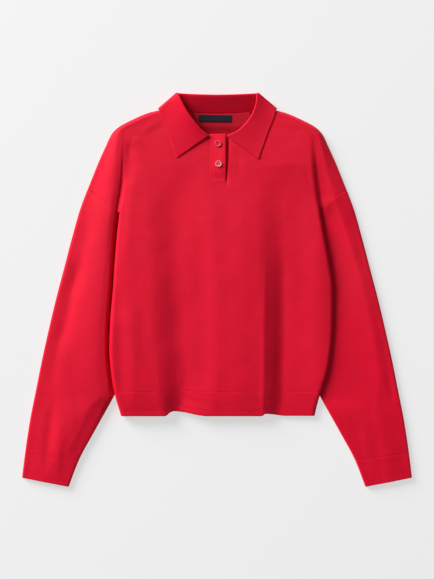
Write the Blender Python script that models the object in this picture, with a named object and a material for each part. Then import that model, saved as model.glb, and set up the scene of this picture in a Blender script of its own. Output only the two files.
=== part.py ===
"""A fine-knit polo sweater laid flat on its back, with its sleeves drawn down at its sides.

Run it with: blender --background --python part.py

Tables and named sizes are in millimetres, and each mesh is written in metres. X runs to the viewer's right, Y from
the hem towards the collar and Z up from the surface that the sweater lies on. "Left" and "right" are the viewer's.
Every piece of cloth is one wall: a grid of points down the middle of the cloth, moved half its thickness each way.
"""

import bmesh
import bpy
import numpy as np

MM = 0.001

# Cloth and seams
WALL = 2.0
COLLAR_WALL = 2.2
BAND_WALL = 2.4
LABEL_WALL = 1.0
SEAM_GAP = 0.3
ARMHOLE_SEAM = 1.25  # between the edges of the sleeve and of the body, which are set between their rows
SHOULDER_SEAM = 0.8  # from the front cloth's middle to the back cloth's, at the fold along the shoulder
STEP_UP = WALL + SEAM_GAP  # from the middle of one layer to the middle of the next one on it

# Heights of the middle of each layer above the surface
FLOOR_LAYER = WALL / 2
SLEEVE_UNDER_BODY = FLOOR_LAYER + STEP_UP
BODY_OVER_SLEEVE = SLEEVE_UNDER_BODY + STEP_UP
BACK_AT_NECK = 3.9

# Main places along Y
HEM_Y = -225.9
BAND_HEIGHT = 43.0
BAND_TOP_Y = HEM_Y + BAND_HEIGHT
UNDERARM_Y = 50.4
ARMHOLE_TOP_Y = 179.0
CROSSING_Y = {-1: 131.0, 1: 144.0}  # where the armhole seam goes under the body's side edge
LIFT_FULL = 9.0  # how far above the crossing the front panel still lies over the sleeve's end
LIFT_END = 26.0
LAP_END = 3.0
LAP = 2.2

# Placket and buttons
PLACKET_LEFT = -13.9
PLACKET_RIGHT = 22.6
PLACKET_BOTTOM = 200.0
PLACKET_TOP = 279.5
UPPER_BAND_RIGHT = 15.3
UNDER_BAND_LEFT = -9.0
BUTTON_PLACES = {"button_upper": (1.8, 262.8), "button_lower": (2.9, 226.3)}
BUTTON_DIAMETER = 11.6
BUTTON_THICKNESS = 2.6
BUTTON_HOLE_DIAMETER = 1.7
BUTTON_HOLE_SPACING = 2.9

# Neck label
LABEL_CENTRE = (-3.4, 309.0)
LABEL_SIZE = (58.5, 12.4)
LABEL_TURN = 1.0  # degrees

KNIT_RED = (0.66, 0.012, 0.035, 1.0)
BUTTON_RED = (0.86, 0.12, 0.16, 1.0)
LABEL_NAVY = (0.012, 0.016, 0.035, 1.0)


def table(columns, *rows):
    """A short table: each named column becomes an array."""
    return {name: np.array(values, float) for name, values in zip(columns.split(), zip(*rows))}


# The body's side edge, as its distance from the centre line.
SIDE_EDGE = table(
    "y left right",
    (-225.9, 171.9, 175.1),
    (-198.0, 180.0, 181.8),
    (-171.0, 186.3, 190.0),
    (-144.0, 189.9, 198.0),
    (-108.0, 192.6, 203.4),
    (-54.0, 190.8, 207.0),
    (0.0, 186.3, 207.0),
    (54.0, 182.7, 199.8),
    (108.0, 178.2, 189.9),
    (147.6, 172.8, 183.6),
    (190.8, 165.6, 177.5),
    (234.0, 162.9, 172.8),
    (275.0, 160.0, 170.0),
)

# How far the front panel is turned in under the body, from the side edge to the side seam.
TURN_UNDER = table(
    "y width",
    (-225.9, 7.0),
    (-190.0, 8.5),
    (-144.0, 13.0),
    (-108.0, 19.0),
    (-54.0, 28.0),
    (0.0, 38.0),
    (50.4, 49.5),
)

# The armhole seam, from the underarm to the top of the shoulder, as distances from the centre line.
ARMHOLE = table(
    "x y",
    (133.2, 50.4),
    (150.0, 92.0),
    (172.0, 129.0),
    (191.0, 150.0),
    (213.0, 168.0),
    (233.0, 179.0),
)

# The outline over the shoulder and the upper arm, above the armhole seam.
SHOULDER = table(
    "y x",
    (179.0, 233.0),
    (197.1, 225.9),
    (229.5, 212.7),
    (258.3, 199.6),
    (279.9, 189.2),
    (287.1, 183.2),
    (294.3, 174.2),
    (301.5, 161.0),
    (308.7, 146.0),
    (316.5, 128.0),
    (320.3, 116.0),
    (322.4, 106.0),
    (325.2, 95.0),
    (328.5, 86.0),
)

# The sleeve, from the cuff to the armhole: its outer fold, its inner fold, and how much of the cap's curve it has.
SLEEVE = table(
    "outer_x outer_y inner_x inner_y cap",
    (350.5, -337.5, 268.0, -353.7, 0.0),
    (345.0, -293.0, 249.5, -306.0, 0.0),
    (336.2, -235.0, 222.0, -255.0, 0.0),
    (325.6, -181.0, 194.0, -205.0, 0.0),
    (314.8, -127.0, 165.0, -150.0, 0.0),
    (302.8, -73.0, 143.0, -100.0, 0.0),
    (290.0, -19.0, 127.0, -48.0, 0.05),
    (275.8, 35.0, 120.5, -4.0, 0.25),
    (261.5, 89.0, 124.0, 25.0, 0.6),
    (246.2, 143.0, 130.5, 44.5, 0.9),
    (233.0, 179.0, 133.2, 50.4, 1.0),
)

# The height of the sleeve's upper cloth: beside its folds, at its crest, and where it runs under the body.
SLEEVE_HEIGHT = table(
    "y outer crest crest_at inner",
    (-353.7, 7.8, 9.0, 0.50, 7.8),
    (-300.0, 8.2, 11.0, 0.50, 7.8),
    (-240.0, 8.5, 14.0, 0.50, 7.5),
    (-215.0, 9.0, 15.5, 0.52, 6.0),
    (-192.0, 9.0, 16.5, 0.55, 3.3),
    (-100.0, 9.5, 18.5, 0.62, 3.3),
    (0.0, 9.5, 19.0, 0.64, 3.3),
    (140.0, 9.5, 17.2, 0.60, 3.3),
    (160.0, 9.5, 16.9, 0.57, 5.0),
    (184.0, 9.5, 16.5, 0.55, 6.5),
    (215.0, 9.5, 16.0, 0.50, 9.0),
    (240.0, 9.5, 15.5, 0.45, 11.5),
    (275.0, 9.5, 14.5, 0.42, 14.0),
    (334.8, 9.5, 12.0, 0.40, 12.0),
)

# The front of the body: its height beside the left side edge, before its three long folds change it.
FRONT_HEIGHT = table(
    "y z",
    (-225.9, 13.5),
    (-180.0, 19.3),
    (-100.0, 21.5),
    (0.0, 21.5),
    (90.0, 20.0),
    (135.0, 18.8),
    (180.0, 17.0),
    (216.0, 15.6),
    (270.0, 14.0),
    (334.8, 12.0),
)

# The walls of the folds down the front. The cloth falls by so much, or rises, from one place across to another.
LEFT_WALL = table(
    "y start end fall",
    (-225.9, -97.0, -68.0, 8.8),
    (-198.0, -105.0, -60.0, 10.4),
    (-126.0, -112.0, -52.0, 11.0),
    (-72.0, -120.0, -56.0, 10.6),
    (0.0, -121.0, -54.0, 9.2),
    (90.0, -125.0, -60.0, 6.4),
    (135.0, -127.0, -63.0, 5.0),
    (180.0, -124.0, -65.0, 2.8),
    (225.0, -120.0, -66.0, 0.0),
)
LEFT_RISE = table(
    "y start end fall",
    (-225.9, -68.0, -10.0, -7.8),
    (-198.0, -60.0, 0.0, -9.0),
    (-126.0, -52.0, 6.0, -9.2),
    (-72.0, -56.0, 6.0, -9.0),
    (0.0, -54.0, 4.0, -8.2),
    (90.0, -60.0, -2.0, -5.9),
    (135.0, -63.0, -4.0, -4.5),
    (180.0, -65.0, -8.0, -2.2),
    (225.0, -66.0, -12.0, 0.0),
)
RIGHT_WALL = table(
    "y start end fall",
    (-225.9, 82.0, 112.0, 8.0),
    (-198.0, 81.0, 118.0, 9.2),
    (-126.0, 80.0, 120.0, 10.7),
    (-72.0, 77.0, 122.0, 10.6),
    (0.0, 74.0, 123.0, 9.4),
    (90.0, 71.0, 122.0, 6.4),
    (135.0, 70.0, 120.0, 5.0),
    (180.0, 69.0, 117.0, 3.0),
    (225.0, 68.0, 114.0, 0.0),
)
WALLS = (LEFT_WALL, LEFT_RISE, RIGHT_WALL)

# Where the folds draw the hem up, across the front.
HEM_DRAW = table("start top end draw", (-94.0, -80.0, -16.0, 9.0), (80.0, 87.0, 124.0, 4.0))
HEM_DRAW_TOP_Y = -150.0
CLIMB_WIDTH = 15.0
BACK_LIP = 1.0  # the back panel's last column, beside its side seam

# The collar from its left front end, round the back of the neck, to its right front end.
# The seam joins it to the neckline, the roll is its upper fold, and the edge is that of the turned-down fall.
# Turn is the side that the fall lies on: 0 above the stand, 90 outside it, 180 below it.
COLLAR = table(
    "seam_x seam_y roll_x roll_y roll_z edge_x edge_y edge_z turn",
    (-15.8, 275.6, -15.0, 277.6, 18.2, -72.0, 237.6, 17.4, 0),
    (-30.5, 281.0, -27.0, 287.1, 20.0, -77.0, 252.0, 17.2, 0),
    (-49.0, 294.0, -40.3, 302.4, 21.0, -83.5, 270.0, 16.8, 0),
    (-67.0, 312.0, -55.0, 323.0, 21.0, -91.0, 290.0, 16.2, 0),
    (-77.5, 322.5, -65.0, 342.0, 19.5, -98.0, 308.5, 15.4, 6),
    (-81.5, 327.0, -69.5, 351.0, 18.4, -103.9, 322.8, 13.2, 40),
    (-82.5, 328.6, -71.2, 352.6, 17.0, -105.5, 326.9, 6.5, 90),
    (-79.0, 327.2, -68.0, 352.4, 16.2, -103.8, 324.6, 1.9, 140),
    (-66.0, 322.5, -55.0, 351.6, 16.4, -84.0, 310.5, 1.2, 180),
    (-36.0, 318.6, -29.0, 350.4, 17.4, -44.0, 306.0, 1.2, 180),
    (0.0, 317.7, 1.0, 349.8, 17.8, 1.0, 304.5, 1.2, 180),
    (36.0, 318.6, 31.0, 350.4, 17.4, 46.0, 306.0, 1.2, 180),
    (66.0, 322.5, 57.0, 351.6, 16.4, 86.0, 310.5, 1.2, 180),
    (79.0, 327.2, 69.8, 352.4, 16.2, 105.8, 324.6, 1.9, 140),
    (82.5, 328.6, 73.0, 352.6, 17.0, 107.5, 326.9, 6.5, 90),
    (81.5, 327.0, 71.3, 351.0, 18.4, 105.9, 322.8, 13.2, 40),
    (78.5, 320.5, 70.5, 339.0, 19.5, 100.4, 306.0, 15.4, 6),
    (71.5, 308.0, 64.5, 318.6, 21.0, 93.0, 288.0, 16.2, 0),
    (58.0, 291.0, 53.0, 301.0, 21.0, 86.0, 268.0, 16.8, 0),
    (39.5, 279.5, 36.5, 285.6, 20.0, 79.6, 250.0, 17.2, 0),
    (24.8, 274.6, 19.0, 277.0, 18.2, 74.7, 234.9, 17.4, 0),
)
ROLL_RADIUS = 1.9
NECK_SEAM = 1.6  # from the middle of the stand's cloth to the front panel's edge


def smooth(at, xs, ys):
    """A smooth curve through the points (xs, ys) that never swings past them, read at the places given."""
    at, xs, ys = np.asarray(at, float), np.asarray(xs, float), np.asarray(ys, float)
    run, rise = np.diff(xs), np.diff(ys)
    chord = rise / run
    slope = np.zeros(len(xs))
    slope[[0, -1]] = chord[[0, -1]]
    before, after = chord[:-1], chord[1:]
    same_way = before * after > 0
    weight_a, weight_b = 2 * run[1:] + run[:-1], run[1:] + 2 * run[:-1]
    safe_before, safe_after = np.where(same_way, before, 1.0), np.where(same_way, after, 1.0)
    mean = (weight_a + weight_b) / (weight_a / safe_before + weight_b / safe_after)
    slope[1:-1] = np.where(same_way, mean, 0.0)
    at = np.clip(at, xs[0], xs[-1])
    k = np.clip(np.searchsorted(xs, at, side="right") - 1, 0, len(run) - 1)
    t = (at - xs[k]) / run[k]
    start = (1 + 2 * t) * (1 - t) ** 2 * ys[k] + t * (1 - t) ** 2 * run[k] * slope[k]
    end = t * t * (3 - 2 * t) * ys[k + 1] - t * t * (1 - t) * run[k] * slope[k + 1]
    return start + end


def read(named, column, at, key="y"):
    """One column of a table, read smoothly at places along its key column."""
    return smooth(at, named[key], named[column])


def ease(t):
    """0 before 0, 1 after 1, and a soft step between them."""
    t = np.clip(t, 0.0, 1.0)
    return t * t * (3 - 2 * t)


def side_name(side):
    return "left" if side < 0 else "right"


def edge_x(side, y):
    """The distance of the body's side edge from the centre line. On the shoulder it keeps inside the outline."""
    return np.minimum(read(SIDE_EDGE, side_name(side), y), outline_x(y) - fold_radius(y) - 12.0)


def outline_x(y):
    """The distance of the outermost edge from the centre line: the sleeve's fold, then the shoulder."""
    xs = np.concatenate([SLEEVE["outer_x"][:-1], SHOULDER["x"]])
    ys = np.concatenate([SLEEVE["outer_y"][:-1], SHOULDER["y"]])
    return smooth(y, ys, xs)


def inner_limit_x(side, y):
    """Where the sleeve's upper cloth reaches its low inner side: the body's edge, or its own fold below the body."""
    own_fold = smooth(y, SLEEVE["inner_y"][:5], SLEEVE["inner_x"][:5])
    under_body = edge_x(side, y) + 2.0
    return np.where(np.asarray(y) < -196.0, np.maximum(own_fold, under_body), under_body)


def shoulder_level(y):
    """The height of the seam along the outermost edge."""
    return (read(SLEEVE_HEIGHT, "outer", y) + FLOOR_LAYER) / 2


def fold_radius(y):
    """How round the outermost edge is, measured along X: tight on the sleeve and softer on the shoulder."""
    slant = (outline_x(y - 2.0) - outline_x(y + 2.0)) / 4.0
    across = 3.8 + 3.4 * ease((y - 240.0) / 50.0)
    return across * np.sqrt(1 + slant**2)


def sleeve_height(side, x, y):
    """The height of the upper cloth outside the body's side edge, at distance x from the centre line."""
    outer, inner = outline_x(y), inner_limit_x(side, y)
    across = np.clip((outer - x) / (outer - inner), 0.0, 1.0)
    low_out, crest = read(SLEEVE_HEIGHT, "outer", y), read(SLEEVE_HEIGHT, "crest", y)
    low_in, crest_at = read(SLEEVE_HEIGHT, "inner", y), read(SLEEVE_HEIGHT, "crest_at", y)
    rising = low_out + (crest - low_out) * ease(across / crest_at)
    falling = low_in + (crest - low_in) * ease((1 - across) / (1 - crest_at))
    height = np.where(across < crest_at, rising, falling)
    return round_off(height, outer - x, y, up=1)


def round_off(height, inside, y, up):
    """Brings a layer to the seam level where it nears the outermost edge, along a quarter of an ellipse."""
    level, radius = shoulder_level(y), fold_radius(y)
    left_over = np.clip(1 - np.clip(inside, 0.0, None) / radius, 0.0, 1.0)
    return level + (height - level) * np.sqrt(1 - left_over**2)


def front_height(x, y):
    """The height of the middle of the front panel's upper layer."""
    height = read(FRONT_HEIGHT, "z", y)
    for fold in WALLS:
        start, end = read(fold, "start", y), read(fold, "end", y)
        height = height - read(fold, "fall", y) * ease((x - start) / (end - start))
    return height


def hem_draw(x, y):
    """How far the folds draw the cloth up near the hem."""
    fade = ease((HEM_DRAW_TOP_Y - y) / (HEM_DRAW_TOP_Y - HEM_Y))
    draw = np.zeros_like(x)
    for start, top, end, most in zip(*(HEM_DRAW[key] for key in ("start", "top", "end", "draw"))):
        draw = draw + most * ease((x - start) / (top - start)) * ease((end - x) / (end - top))
    return draw * fade


def body_level(y):
    """The height of the body's lowest layer at its side edges: on the sleeve, and on the surface near the hem."""
    return FLOOR_LAYER + (BODY_OVER_SLEEVE - FLOOR_LAYER) * ease((y + 214.0) / 20.0)


def climb_start(y):
    """Where the back panel begins to climb onto the sleeve, as a distance from the centre line."""
    return smooth(y, SLEEVE["inner_y"], SLEEVE["inner_x"]) - 23.8


def back_height(x, y):
    """The height of the middle of the back panel: flat, but lying on the sleeves and on the collar's fall."""
    x, y = np.abs(x), np.asarray(y, float)
    climb = (x - climb_start(y)) / CLIMB_WIDTH
    on_sleeve = ease(climb) * ease((78.0 - y) / 24.0) * ease((y + 214.0) / 20.0)
    on_fall = ease((y - 282.0) / 15.0)
    height = FLOOR_LAYER + (BODY_OVER_SLEEVE - FLOOR_LAYER) * on_sleeve
    height = height + (BACK_AT_NECK - FLOOR_LAYER) * on_fall
    return np.where(y > ARMHOLE_TOP_Y, round_off(height, outline_x(y) - x, y, up=-1), height)


def seam_x(side, y):
    """The distance of the front panel's own edge from the centre line: side seam, armhole seam, then shoulder seam."""
    side_seam = edge_x(side, y) - read(TURN_UNDER, "width", y)
    underarm = edge_x(side, UNDERARM_Y) - TURN_UNDER["width"][-1]
    armhole = smooth(y, ARMHOLE["y"], ARMHOLE["x"])
    crossing = CROSSING_Y[side]
    shift = (underarm - ARMHOLE["x"][0]) * ease((crossing - y) / (crossing - UNDERARM_Y))
    above = np.where(y < ARMHOLE_TOP_Y, armhole + shift, outline_x(y))
    return np.where(y < UNDERARM_Y, side_seam, above)


def lap_over_sleeve(side, y):
    """How far the front panel's edge laps over the sleeve's end where the two go under the body's edge."""
    above = y - CROSSING_Y[side]
    return LAP * float(ease((LAP_END - above) / 6.0) * ease((above + 30.0) / 18.0))


def resample(path, count, bend_weight=5.0):
    """The path with a set number of points, closer together where it bends."""
    step = np.diff(path, axis=0)
    heading = np.unwrap(np.arctan2(step[:, 1], step[:, 0]))
    bend = np.abs(np.diff(heading, prepend=heading[0]))
    measure = np.concatenate([[0], np.cumsum(np.hypot(*step.T) + bend_weight * bend)])
    wanted = np.linspace(0, measure[-1], count)
    return np.stack([np.interp(wanted, measure, path[:, k]) for k in range(2)], axis=1)


def bezier(a, b, c, d, count):
    t = np.linspace(0, 1, count)[:, None]
    return (1 - t) ** 3 * a + 3 * t * (1 - t) ** 2 * b + 3 * t * t * (1 - t) * c + t**3 * d


SIDE_COLUMNS = 11
EDGE_RADIUS = 6.0
VALLEY_REACH = 7.0
FOLD_LINES = ((LEFT_WALL, "start"), (LEFT_WALL, "end"), (LEFT_RISE, "end"), (RIGHT_WALL, "start"), (RIGHT_WALL, "end"))


def side_path(side, y):
    """The front panel's section from its own edge to the start of its upper layer, as (distance, height).

    Below the crossing the cloth rolls over the side edge and turns in under the body. Above it the cloth dips into
    the valley beside the body and runs out over the upper arm.
    """
    edge, seam = float(edge_x(side, y)), float(seam_x(side, y)) + lap_over_sleeve(side, y)
    turned_in = edge - seam
    above = y - CROSSING_Y[side]
    start = np.array([edge - EDGE_RADIUS, front_height(side * (edge - EDGE_RADIUS), y)])
    low_x = edge - np.clip(turned_in, -VALLEY_REACH, EDGE_RADIUS)
    lift = STEP_UP * ease((LIFT_END - above) / (LIFT_END - LIFT_FULL))
    in_valley = float(sleeve_height(side, min(low_x, float(outline_x(y))), y)) + lift
    low = np.array([low_x, in_valley + (float(body_level(y)) - in_valley) * ease(-above / 8.0)])
    curl = np.clip(turned_in / EDGE_RADIUS, 0, 1)
    flare = np.clip(-turned_in / VALLEY_REACH, 0, 1)
    reach = EDGE_RADIUS * (4 / 3 - 0.35 * flare)
    drop = (start[1] - low[1]) * 0.45 * (1 - max(curl, flare))
    turn = low + np.array([reach * curl - reach * flare, drop])
    path = bezier(start, start + np.array([reach, 0.0]), turn, low, 24)
    if turned_in > EDGE_RADIUS:
        path = np.vstack([path, [seam, low[1]]])
    if turned_in < -VALLEY_REACH:
        radius = float(fold_radius(y)) * 1.02
        near_end = seam - radius
        flat_run = np.linspace(low_x, max(near_end, low_x + 0.5), 24)[1:]
        angle = np.linspace(0, np.pi / 2, 10)[1:]
        round_run = seam - (seam - flat_run[-1]) * (1 - np.sin(angle))
        along = np.concatenate([flat_run, round_run])
        height = sleeve_height(side, along, y) + lift
        on_shoulder = y > ARMHOLE_TOP_Y - 1
        if on_shoulder:
            height = np.maximum(height, shoulder_level(y) + SHOULDER_SEAM)
        path = np.vstack([path, np.stack([along, height], axis=1)])
        if on_shoulder:
            at_seam = [seam, shoulder_level(y) + SHOULDER_SEAM / 2]
            return np.vstack([resample(path, SIDE_COLUMNS - 1), at_seam])[::-1]
    return resample(path, SIDE_COLUMNS)[::-1]


def upper_columns(y):
    """Where the columns of the upper layer lie, so that they follow the folds up the panel."""
    left, right = float(-edge_x(-1, y)) + EDGE_RADIUS, float(edge_x(1, y)) - EDGE_RADIUS
    wall_ends = [float(read(fold, key, y)) for fold, key in FOLD_LINES]
    knots = np.array([left, *wall_ends, right])
    counts = (2, 5, 4, 2, 4, 3)
    evenly = left + (right - left) * np.concatenate([[0], np.cumsum(counts)]) / sum(counts)
    knots = knots + (evenly - knots) * ease((y - 195.0) / 55.0)
    runs = [np.linspace(a, b, n, endpoint=False) for a, b, n in zip(knots, knots[1:], counts)]
    return np.concatenate([*runs, [right]])


def front_section(y):
    """One row of the front panel, from its left edge to its right edge."""
    left, right = side_path(-1, y), side_path(1, y)
    middle = upper_columns(y)[1:-1]
    x = np.concatenate([-left[:, 0], middle, right[::-1, 0]])
    z = np.concatenate([left[:, 1], front_height(middle, y), right[::-1, 1]])
    return np.stack([x, y + hem_draw(x, y), z], axis=1)


def back_section(y):
    """One row of the back panel, from its left edge to its right edge, with columns that follow its climbs."""
    gap = SEAM_GAP if y < UNDERARM_Y else 0.0
    halves = []
    for side in (-1, 1):
        end = float(seam_x(side, y)) - gap
        start = min(float(climb_start(max(y, -205.0))), end - 20.0)
        top = min(start + CLIMB_WIDTH, end - 3.0)
        if y > ARMHOLE_TOP_Y - 1:
            start, top = end * 0.8, end - float(fold_radius(y)) * 0.55
        places = [np.linspace(0, start, 4, endpoint=False), np.linspace(start, top, 3, endpoint=False)]
        places.append(top + (end - top) * np.array([0.0, 0.6]))
        places.append(np.array([end - (BACK_LIP if y < ARMHOLE_TOP_Y - 1 else 0.0), end + 1e-6]))
        halves.append(side * np.concatenate(places))
    x = np.concatenate([halves[0][::-1], halves[1][1:]])
    z = back_height(x, y)
    if y > ARMHOLE_TOP_Y - 1:
        z = np.minimum(z, shoulder_level(y) - SHOULDER_SEAM)
        z[[0, -1]] = shoulder_level(y) - SHOULDER_SEAM / 2
    return np.stack([x, np.full(len(x), y), z], axis=1)


RING_UPPER = 11
RING_LOWER = 8
RING_TURN = 4


def sleeve_ring(side, station):
    """One ring round the flattened sleeve: its lower cloth, inner fold, upper cloth and outer fold."""
    rank = np.arange(len(SLEEVE["cap"]))
    outer = np.array([smooth(station, rank, SLEEVE["outer_x"]), smooth(station, rank, SLEEVE["outer_y"])])
    inner = np.array([smooth(station, rank, SLEEVE["inner_x"]), smooth(station, rank, SLEEVE["inner_y"])])
    cap = float(smooth(station, rank, SLEEVE["cap"]))
    underarm = float(seam_x(side, UNDERARM_Y))
    inner[0] += (underarm - ARMHOLE["x"][0]) * cap
    armhole_end = np.array([ARMHOLE["x"][-1], ARMHOLE["y"][-1]])
    armhole_start = np.array([underarm, UNDERARM_Y])

    def place(share):
        """A point on the way from the outer fold to the inner one, bowed like the armhole near the top."""
        y_on_seam = armhole_end[1] + (armhole_start[1] - armhole_end[1]) * share
        seam = np.stack([seam_x(side, y_on_seam), y_on_seam], axis=1)
        chord = armhole_end + (armhole_start - armhole_end) * share[:, None]
        point = outer + (inner - outer) * share[:, None] + cap * (seam - chord)
        return point + cap * ARMHOLE_SEAM * np.array([0.79, -0.61])

    length = np.hypot(*(inner - outer))
    inner_round = (float(read(SLEEVE_HEIGHT, "inner", inner[1])) - FLOOR_LAYER) / 2
    first, last = float(fold_radius(outer[1])) / length, 1 - inner_round / length
    trial = np.linspace(first, last, 80)
    trial_xy = place(trial)
    clear = trial_xy[:, 0] - inner_limit_x(side, trial_xy[:, 1])
    low_from = trial[np.argmax(clear < 0)] if (clear < 0).any() else last
    low_from = min(low_from, last - 3.0 / length * (len(clear) > 0))
    seen = np.linspace(first, low_from, RING_UPPER - 3, endpoint=False)
    hidden = np.linspace(low_from, last, 3)
    upper_share = np.concatenate([seen, hidden])
    upper = place(upper_share)
    upper_z = sleeve_height(side, upper[:, 0], upper[:, 1])
    lower = place(np.linspace(first, last, RING_LOWER))
    lower_z = np.full(RING_LOWER, FLOOR_LAYER)
    turn = np.linspace(0, np.pi, RING_TURN + 2)[1:-1]

    def fold(near, tip, top_z):
        """Half of an ellipse from the upper cloth round to the lower cloth."""
        middle, half = (top_z + FLOOR_LAYER) / 2, (top_z - FLOOR_LAYER) / 2
        way = near + (tip - near) * np.sin(turn)[:, None]
        return np.column_stack([way, middle + half * np.cos(turn)])

    tips = place(np.array([0.0, 1.0]))
    inner_fold = fold(upper[-1], tips[1], upper_z[-1])
    outer_fold = fold(upper[0], tips[0], upper_z[0])[::-1]
    ring = np.vstack(
        [np.column_stack([upper, upper_z]), inner_fold, np.column_stack([lower, lower_z])[::-1], outer_fold]
    )
    ring[:, 0] *= side
    return ring


def collar_point_rows():
    """The collar's middle surface, one section for each place along it."""
    rank = np.arange(len(COLLAR["turn"]))
    along = np.concatenate([np.linspace(0, 4, 8), np.linspace(4, 8, 10)[1:], np.linspace(8, 12, 7)[1:]])
    along = np.concatenate([along, np.linspace(12, 16, 10)[1:], np.linspace(16, 20, 8)[1:]])
    c = {name: smooth(along, rank, values) for name, values in COLLAR.items()}
    return [collar_section({name: values[k] for name, values in c.items()}) for k in range(len(along))]


def collar_section(c):
    """One section of the collar: up the stand, round the roll, and down the fall."""
    seam_xy = np.array([c["seam_x"], c["seam_y"]])
    front = c["turn"] < 90
    turn = np.radians(c["turn"])
    front_z = front_height(seam_xy[0], seam_xy[1])
    seam_z = BACK_AT_NECK + (front_z - BACK_AT_NECK) * (1 + np.cos(turn)) / 2
    seam = np.array([*seam_xy, seam_z])
    roll = np.array([c["roll_x"], c["roll_y"], c["roll_z"]])
    edge = np.array([c["edge_x"], c["edge_y"], c["edge_z"]])
    down = np.array([edge[0] - roll[0], edge[1] - roll[1], 0.0])
    down /= np.linalg.norm(down)
    outward = np.array([np.sign(c["seam_x"]) * abs(down[1]), abs(down[0]), 0.0])
    over = np.cos(turn) * np.array([0, 0, 1.0]) + np.sin(turn) * outward
    centre = roll + ROLL_RADIUS * down
    stand_top, fall_top = centre - ROLL_RADIUS * over, centre + ROLL_RADIUS * over
    angle = np.linspace(0, np.pi, 6)[1:-1, None]
    around = centre - ROLL_RADIUS * (np.cos(angle) * over + np.sin(angle) * down)
    stand = seam + (stand_top - seam) * np.linspace(0, 1, 3)[:, None]
    share = np.linspace(0, 1, 6)[:, None]
    fall = fall_top + (edge - fall_top) * share
    if front:
        rest = front_height(fall[:, 0], fall[:, 1]) + WALL / 2 + SEAM_GAP + COLLAR_WALL / 2
        blend = np.cos(turn) * ease(share[:, 0] * 1.6)
    else:
        rest = edge[2] + (fall_top[2] - edge[2]) * (1 - share[:, 0]) ** 4
        blend = -np.cos(turn)
    fall[:, 2] = fall[:, 2] + (rest - fall[:, 2]) * blend
    return np.vstack([stand, around, fall])


def wall(name, grid, thickness, material, ring=False):
    """A closed wall about a grid of points. With ring set, each row of the grid is a closed loop."""
    grid = np.asarray(grid, float)
    rows, columns, _ = grid.shape
    along = np.gradient(grid, axis=0)
    if ring:
        across = (np.roll(grid, -1, axis=1) - np.roll(grid, 1, axis=1)) / 2
    else:
        across = np.gradient(grid, axis=1)
    normal = np.cross(across, along)
    normal /= np.linalg.norm(normal, axis=2, keepdims=True)
    half = thickness / 2
    points = np.concatenate([(grid + half * normal).reshape(-1, 3), (grid - half * normal).reshape(-1, 3)])
    count = rows * columns

    def at(row, column, layer):
        return layer * count + row * columns + column % columns

    faces = []
    spans = columns if ring else columns - 1
    for r in range(rows - 1):
        for c in range(spans):
            faces.append((at(r, c, 0), at(r, c + 1, 0), at(r + 1, c + 1, 0), at(r + 1, c, 0)))
            faces.append((at(r, c, 1), at(r + 1, c, 1), at(r + 1, c + 1, 1), at(r, c + 1, 1)))
    for c in range(spans):
        faces.append((at(0, c, 0), at(0, c, 1), at(0, c + 1, 1), at(0, c + 1, 0)))
        faces.append((at(rows - 1, c, 0), at(rows - 1, c + 1, 0), at(rows - 1, c + 1, 1), at(rows - 1, c, 1)))
    if not ring:
        last = columns - 1
        for r in range(rows - 1):
            faces.append((at(r, 0, 0), at(r + 1, 0, 0), at(r + 1, 0, 1), at(r, 0, 1)))
            faces.append((at(r, last, 0), at(r, last, 1), at(r + 1, last, 1), at(r + 1, last, 0)))
    return solid(name, points, faces, material)


def solid(name, points, faces, material):
    """A mesh object from points in millimetres, with its faces turned outwards."""
    mesh = bpy.data.meshes.new(name)
    mesh.from_pydata((np.asarray(points) * MM).tolist(), [], faces)
    work = bmesh.new()
    work.from_mesh(mesh)
    bmesh.ops.recalc_face_normals(work, faces=work.faces)
    work.to_mesh(mesh)
    work.free()
    mesh.shade_smooth()
    mesh.set_sharp_from_angle(angle=np.radians(50))
    mesh.materials.append(material)
    piece = bpy.data.objects.new(name, mesh)
    bpy.context.scene.collection.objects.link(piece)
    return piece


CUT_HEIGHTS = (-20.0, 60.0)


def cut(piece, outline, name="opening"):
    """Cuts away all of the piece that lies inside an outline seen from above."""
    count = len(outline)
    points = [(x, y, z) for z in CUT_HEIGHTS for x, y in outline]
    faces = [tuple(range(count))[::-1], tuple(range(count, 2 * count))]
    faces += [(k, (k + 1) % count, count + (k + 1) % count, count + k) for k in range(count)]
    cutter = solid(f"{piece.name}_{name}_cutter", points, faces, piece.data.materials[0])
    cutter.hide_render = True
    cutter.display_type = "WIRE"
    opening = piece.modifiers.new(name, "BOOLEAN")
    opening.operation = "DIFFERENCE"
    opening.object = cutter


def cloth_material(name, colour, roughness):
    material = bpy.data.materials.new(name)
    material.use_nodes = True
    shader = material.node_tree.nodes["Principled BSDF"]
    shader.inputs["Base Color"].default_value = colour
    shader.inputs["Roughness"].default_value = roughness
    shader.inputs["Metallic"].default_value = 0.0
    return material


def rows_of(section, ys):
    return [section(y) for y in ys]


BAND_ROWS = (-225.9, -214.0, -203.0, -193.0, -183.05)
PANEL_ROWS = (
    *(-182.75, -150, -115, -75, -30, 15, 50.3, 80, 105, 120, 130, 138, 148, 160, 170, 178.9),
    *(200, 225, 250, 270, 284, 295, 306, 318, 330.4),
)


def neckline(front):
    """The edge of the neck opening, from left to right, as the collar's seam has it, moved out by the seam's gap."""
    turn, xs, ys = COLLAR["turn"], COLLAR["seam_x"], COLLAR["seam_y"]
    keep = turn <= 90 if front else turn >= 90
    rank = np.arange(len(turn))
    left, right = rank[keep & (xs <= 0)], rank[keep & (xs >= 0)]
    if front:
        left = left[::-1]
    side_a = np.linspace(left[0], left[-1], 12)
    side_b = np.linspace(right[0], right[-1], 12)
    points = [np.stack([smooth(s, rank, xs), smooth(s, rank, ys)], axis=1) for s in (side_a, side_b)]
    return points


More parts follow.
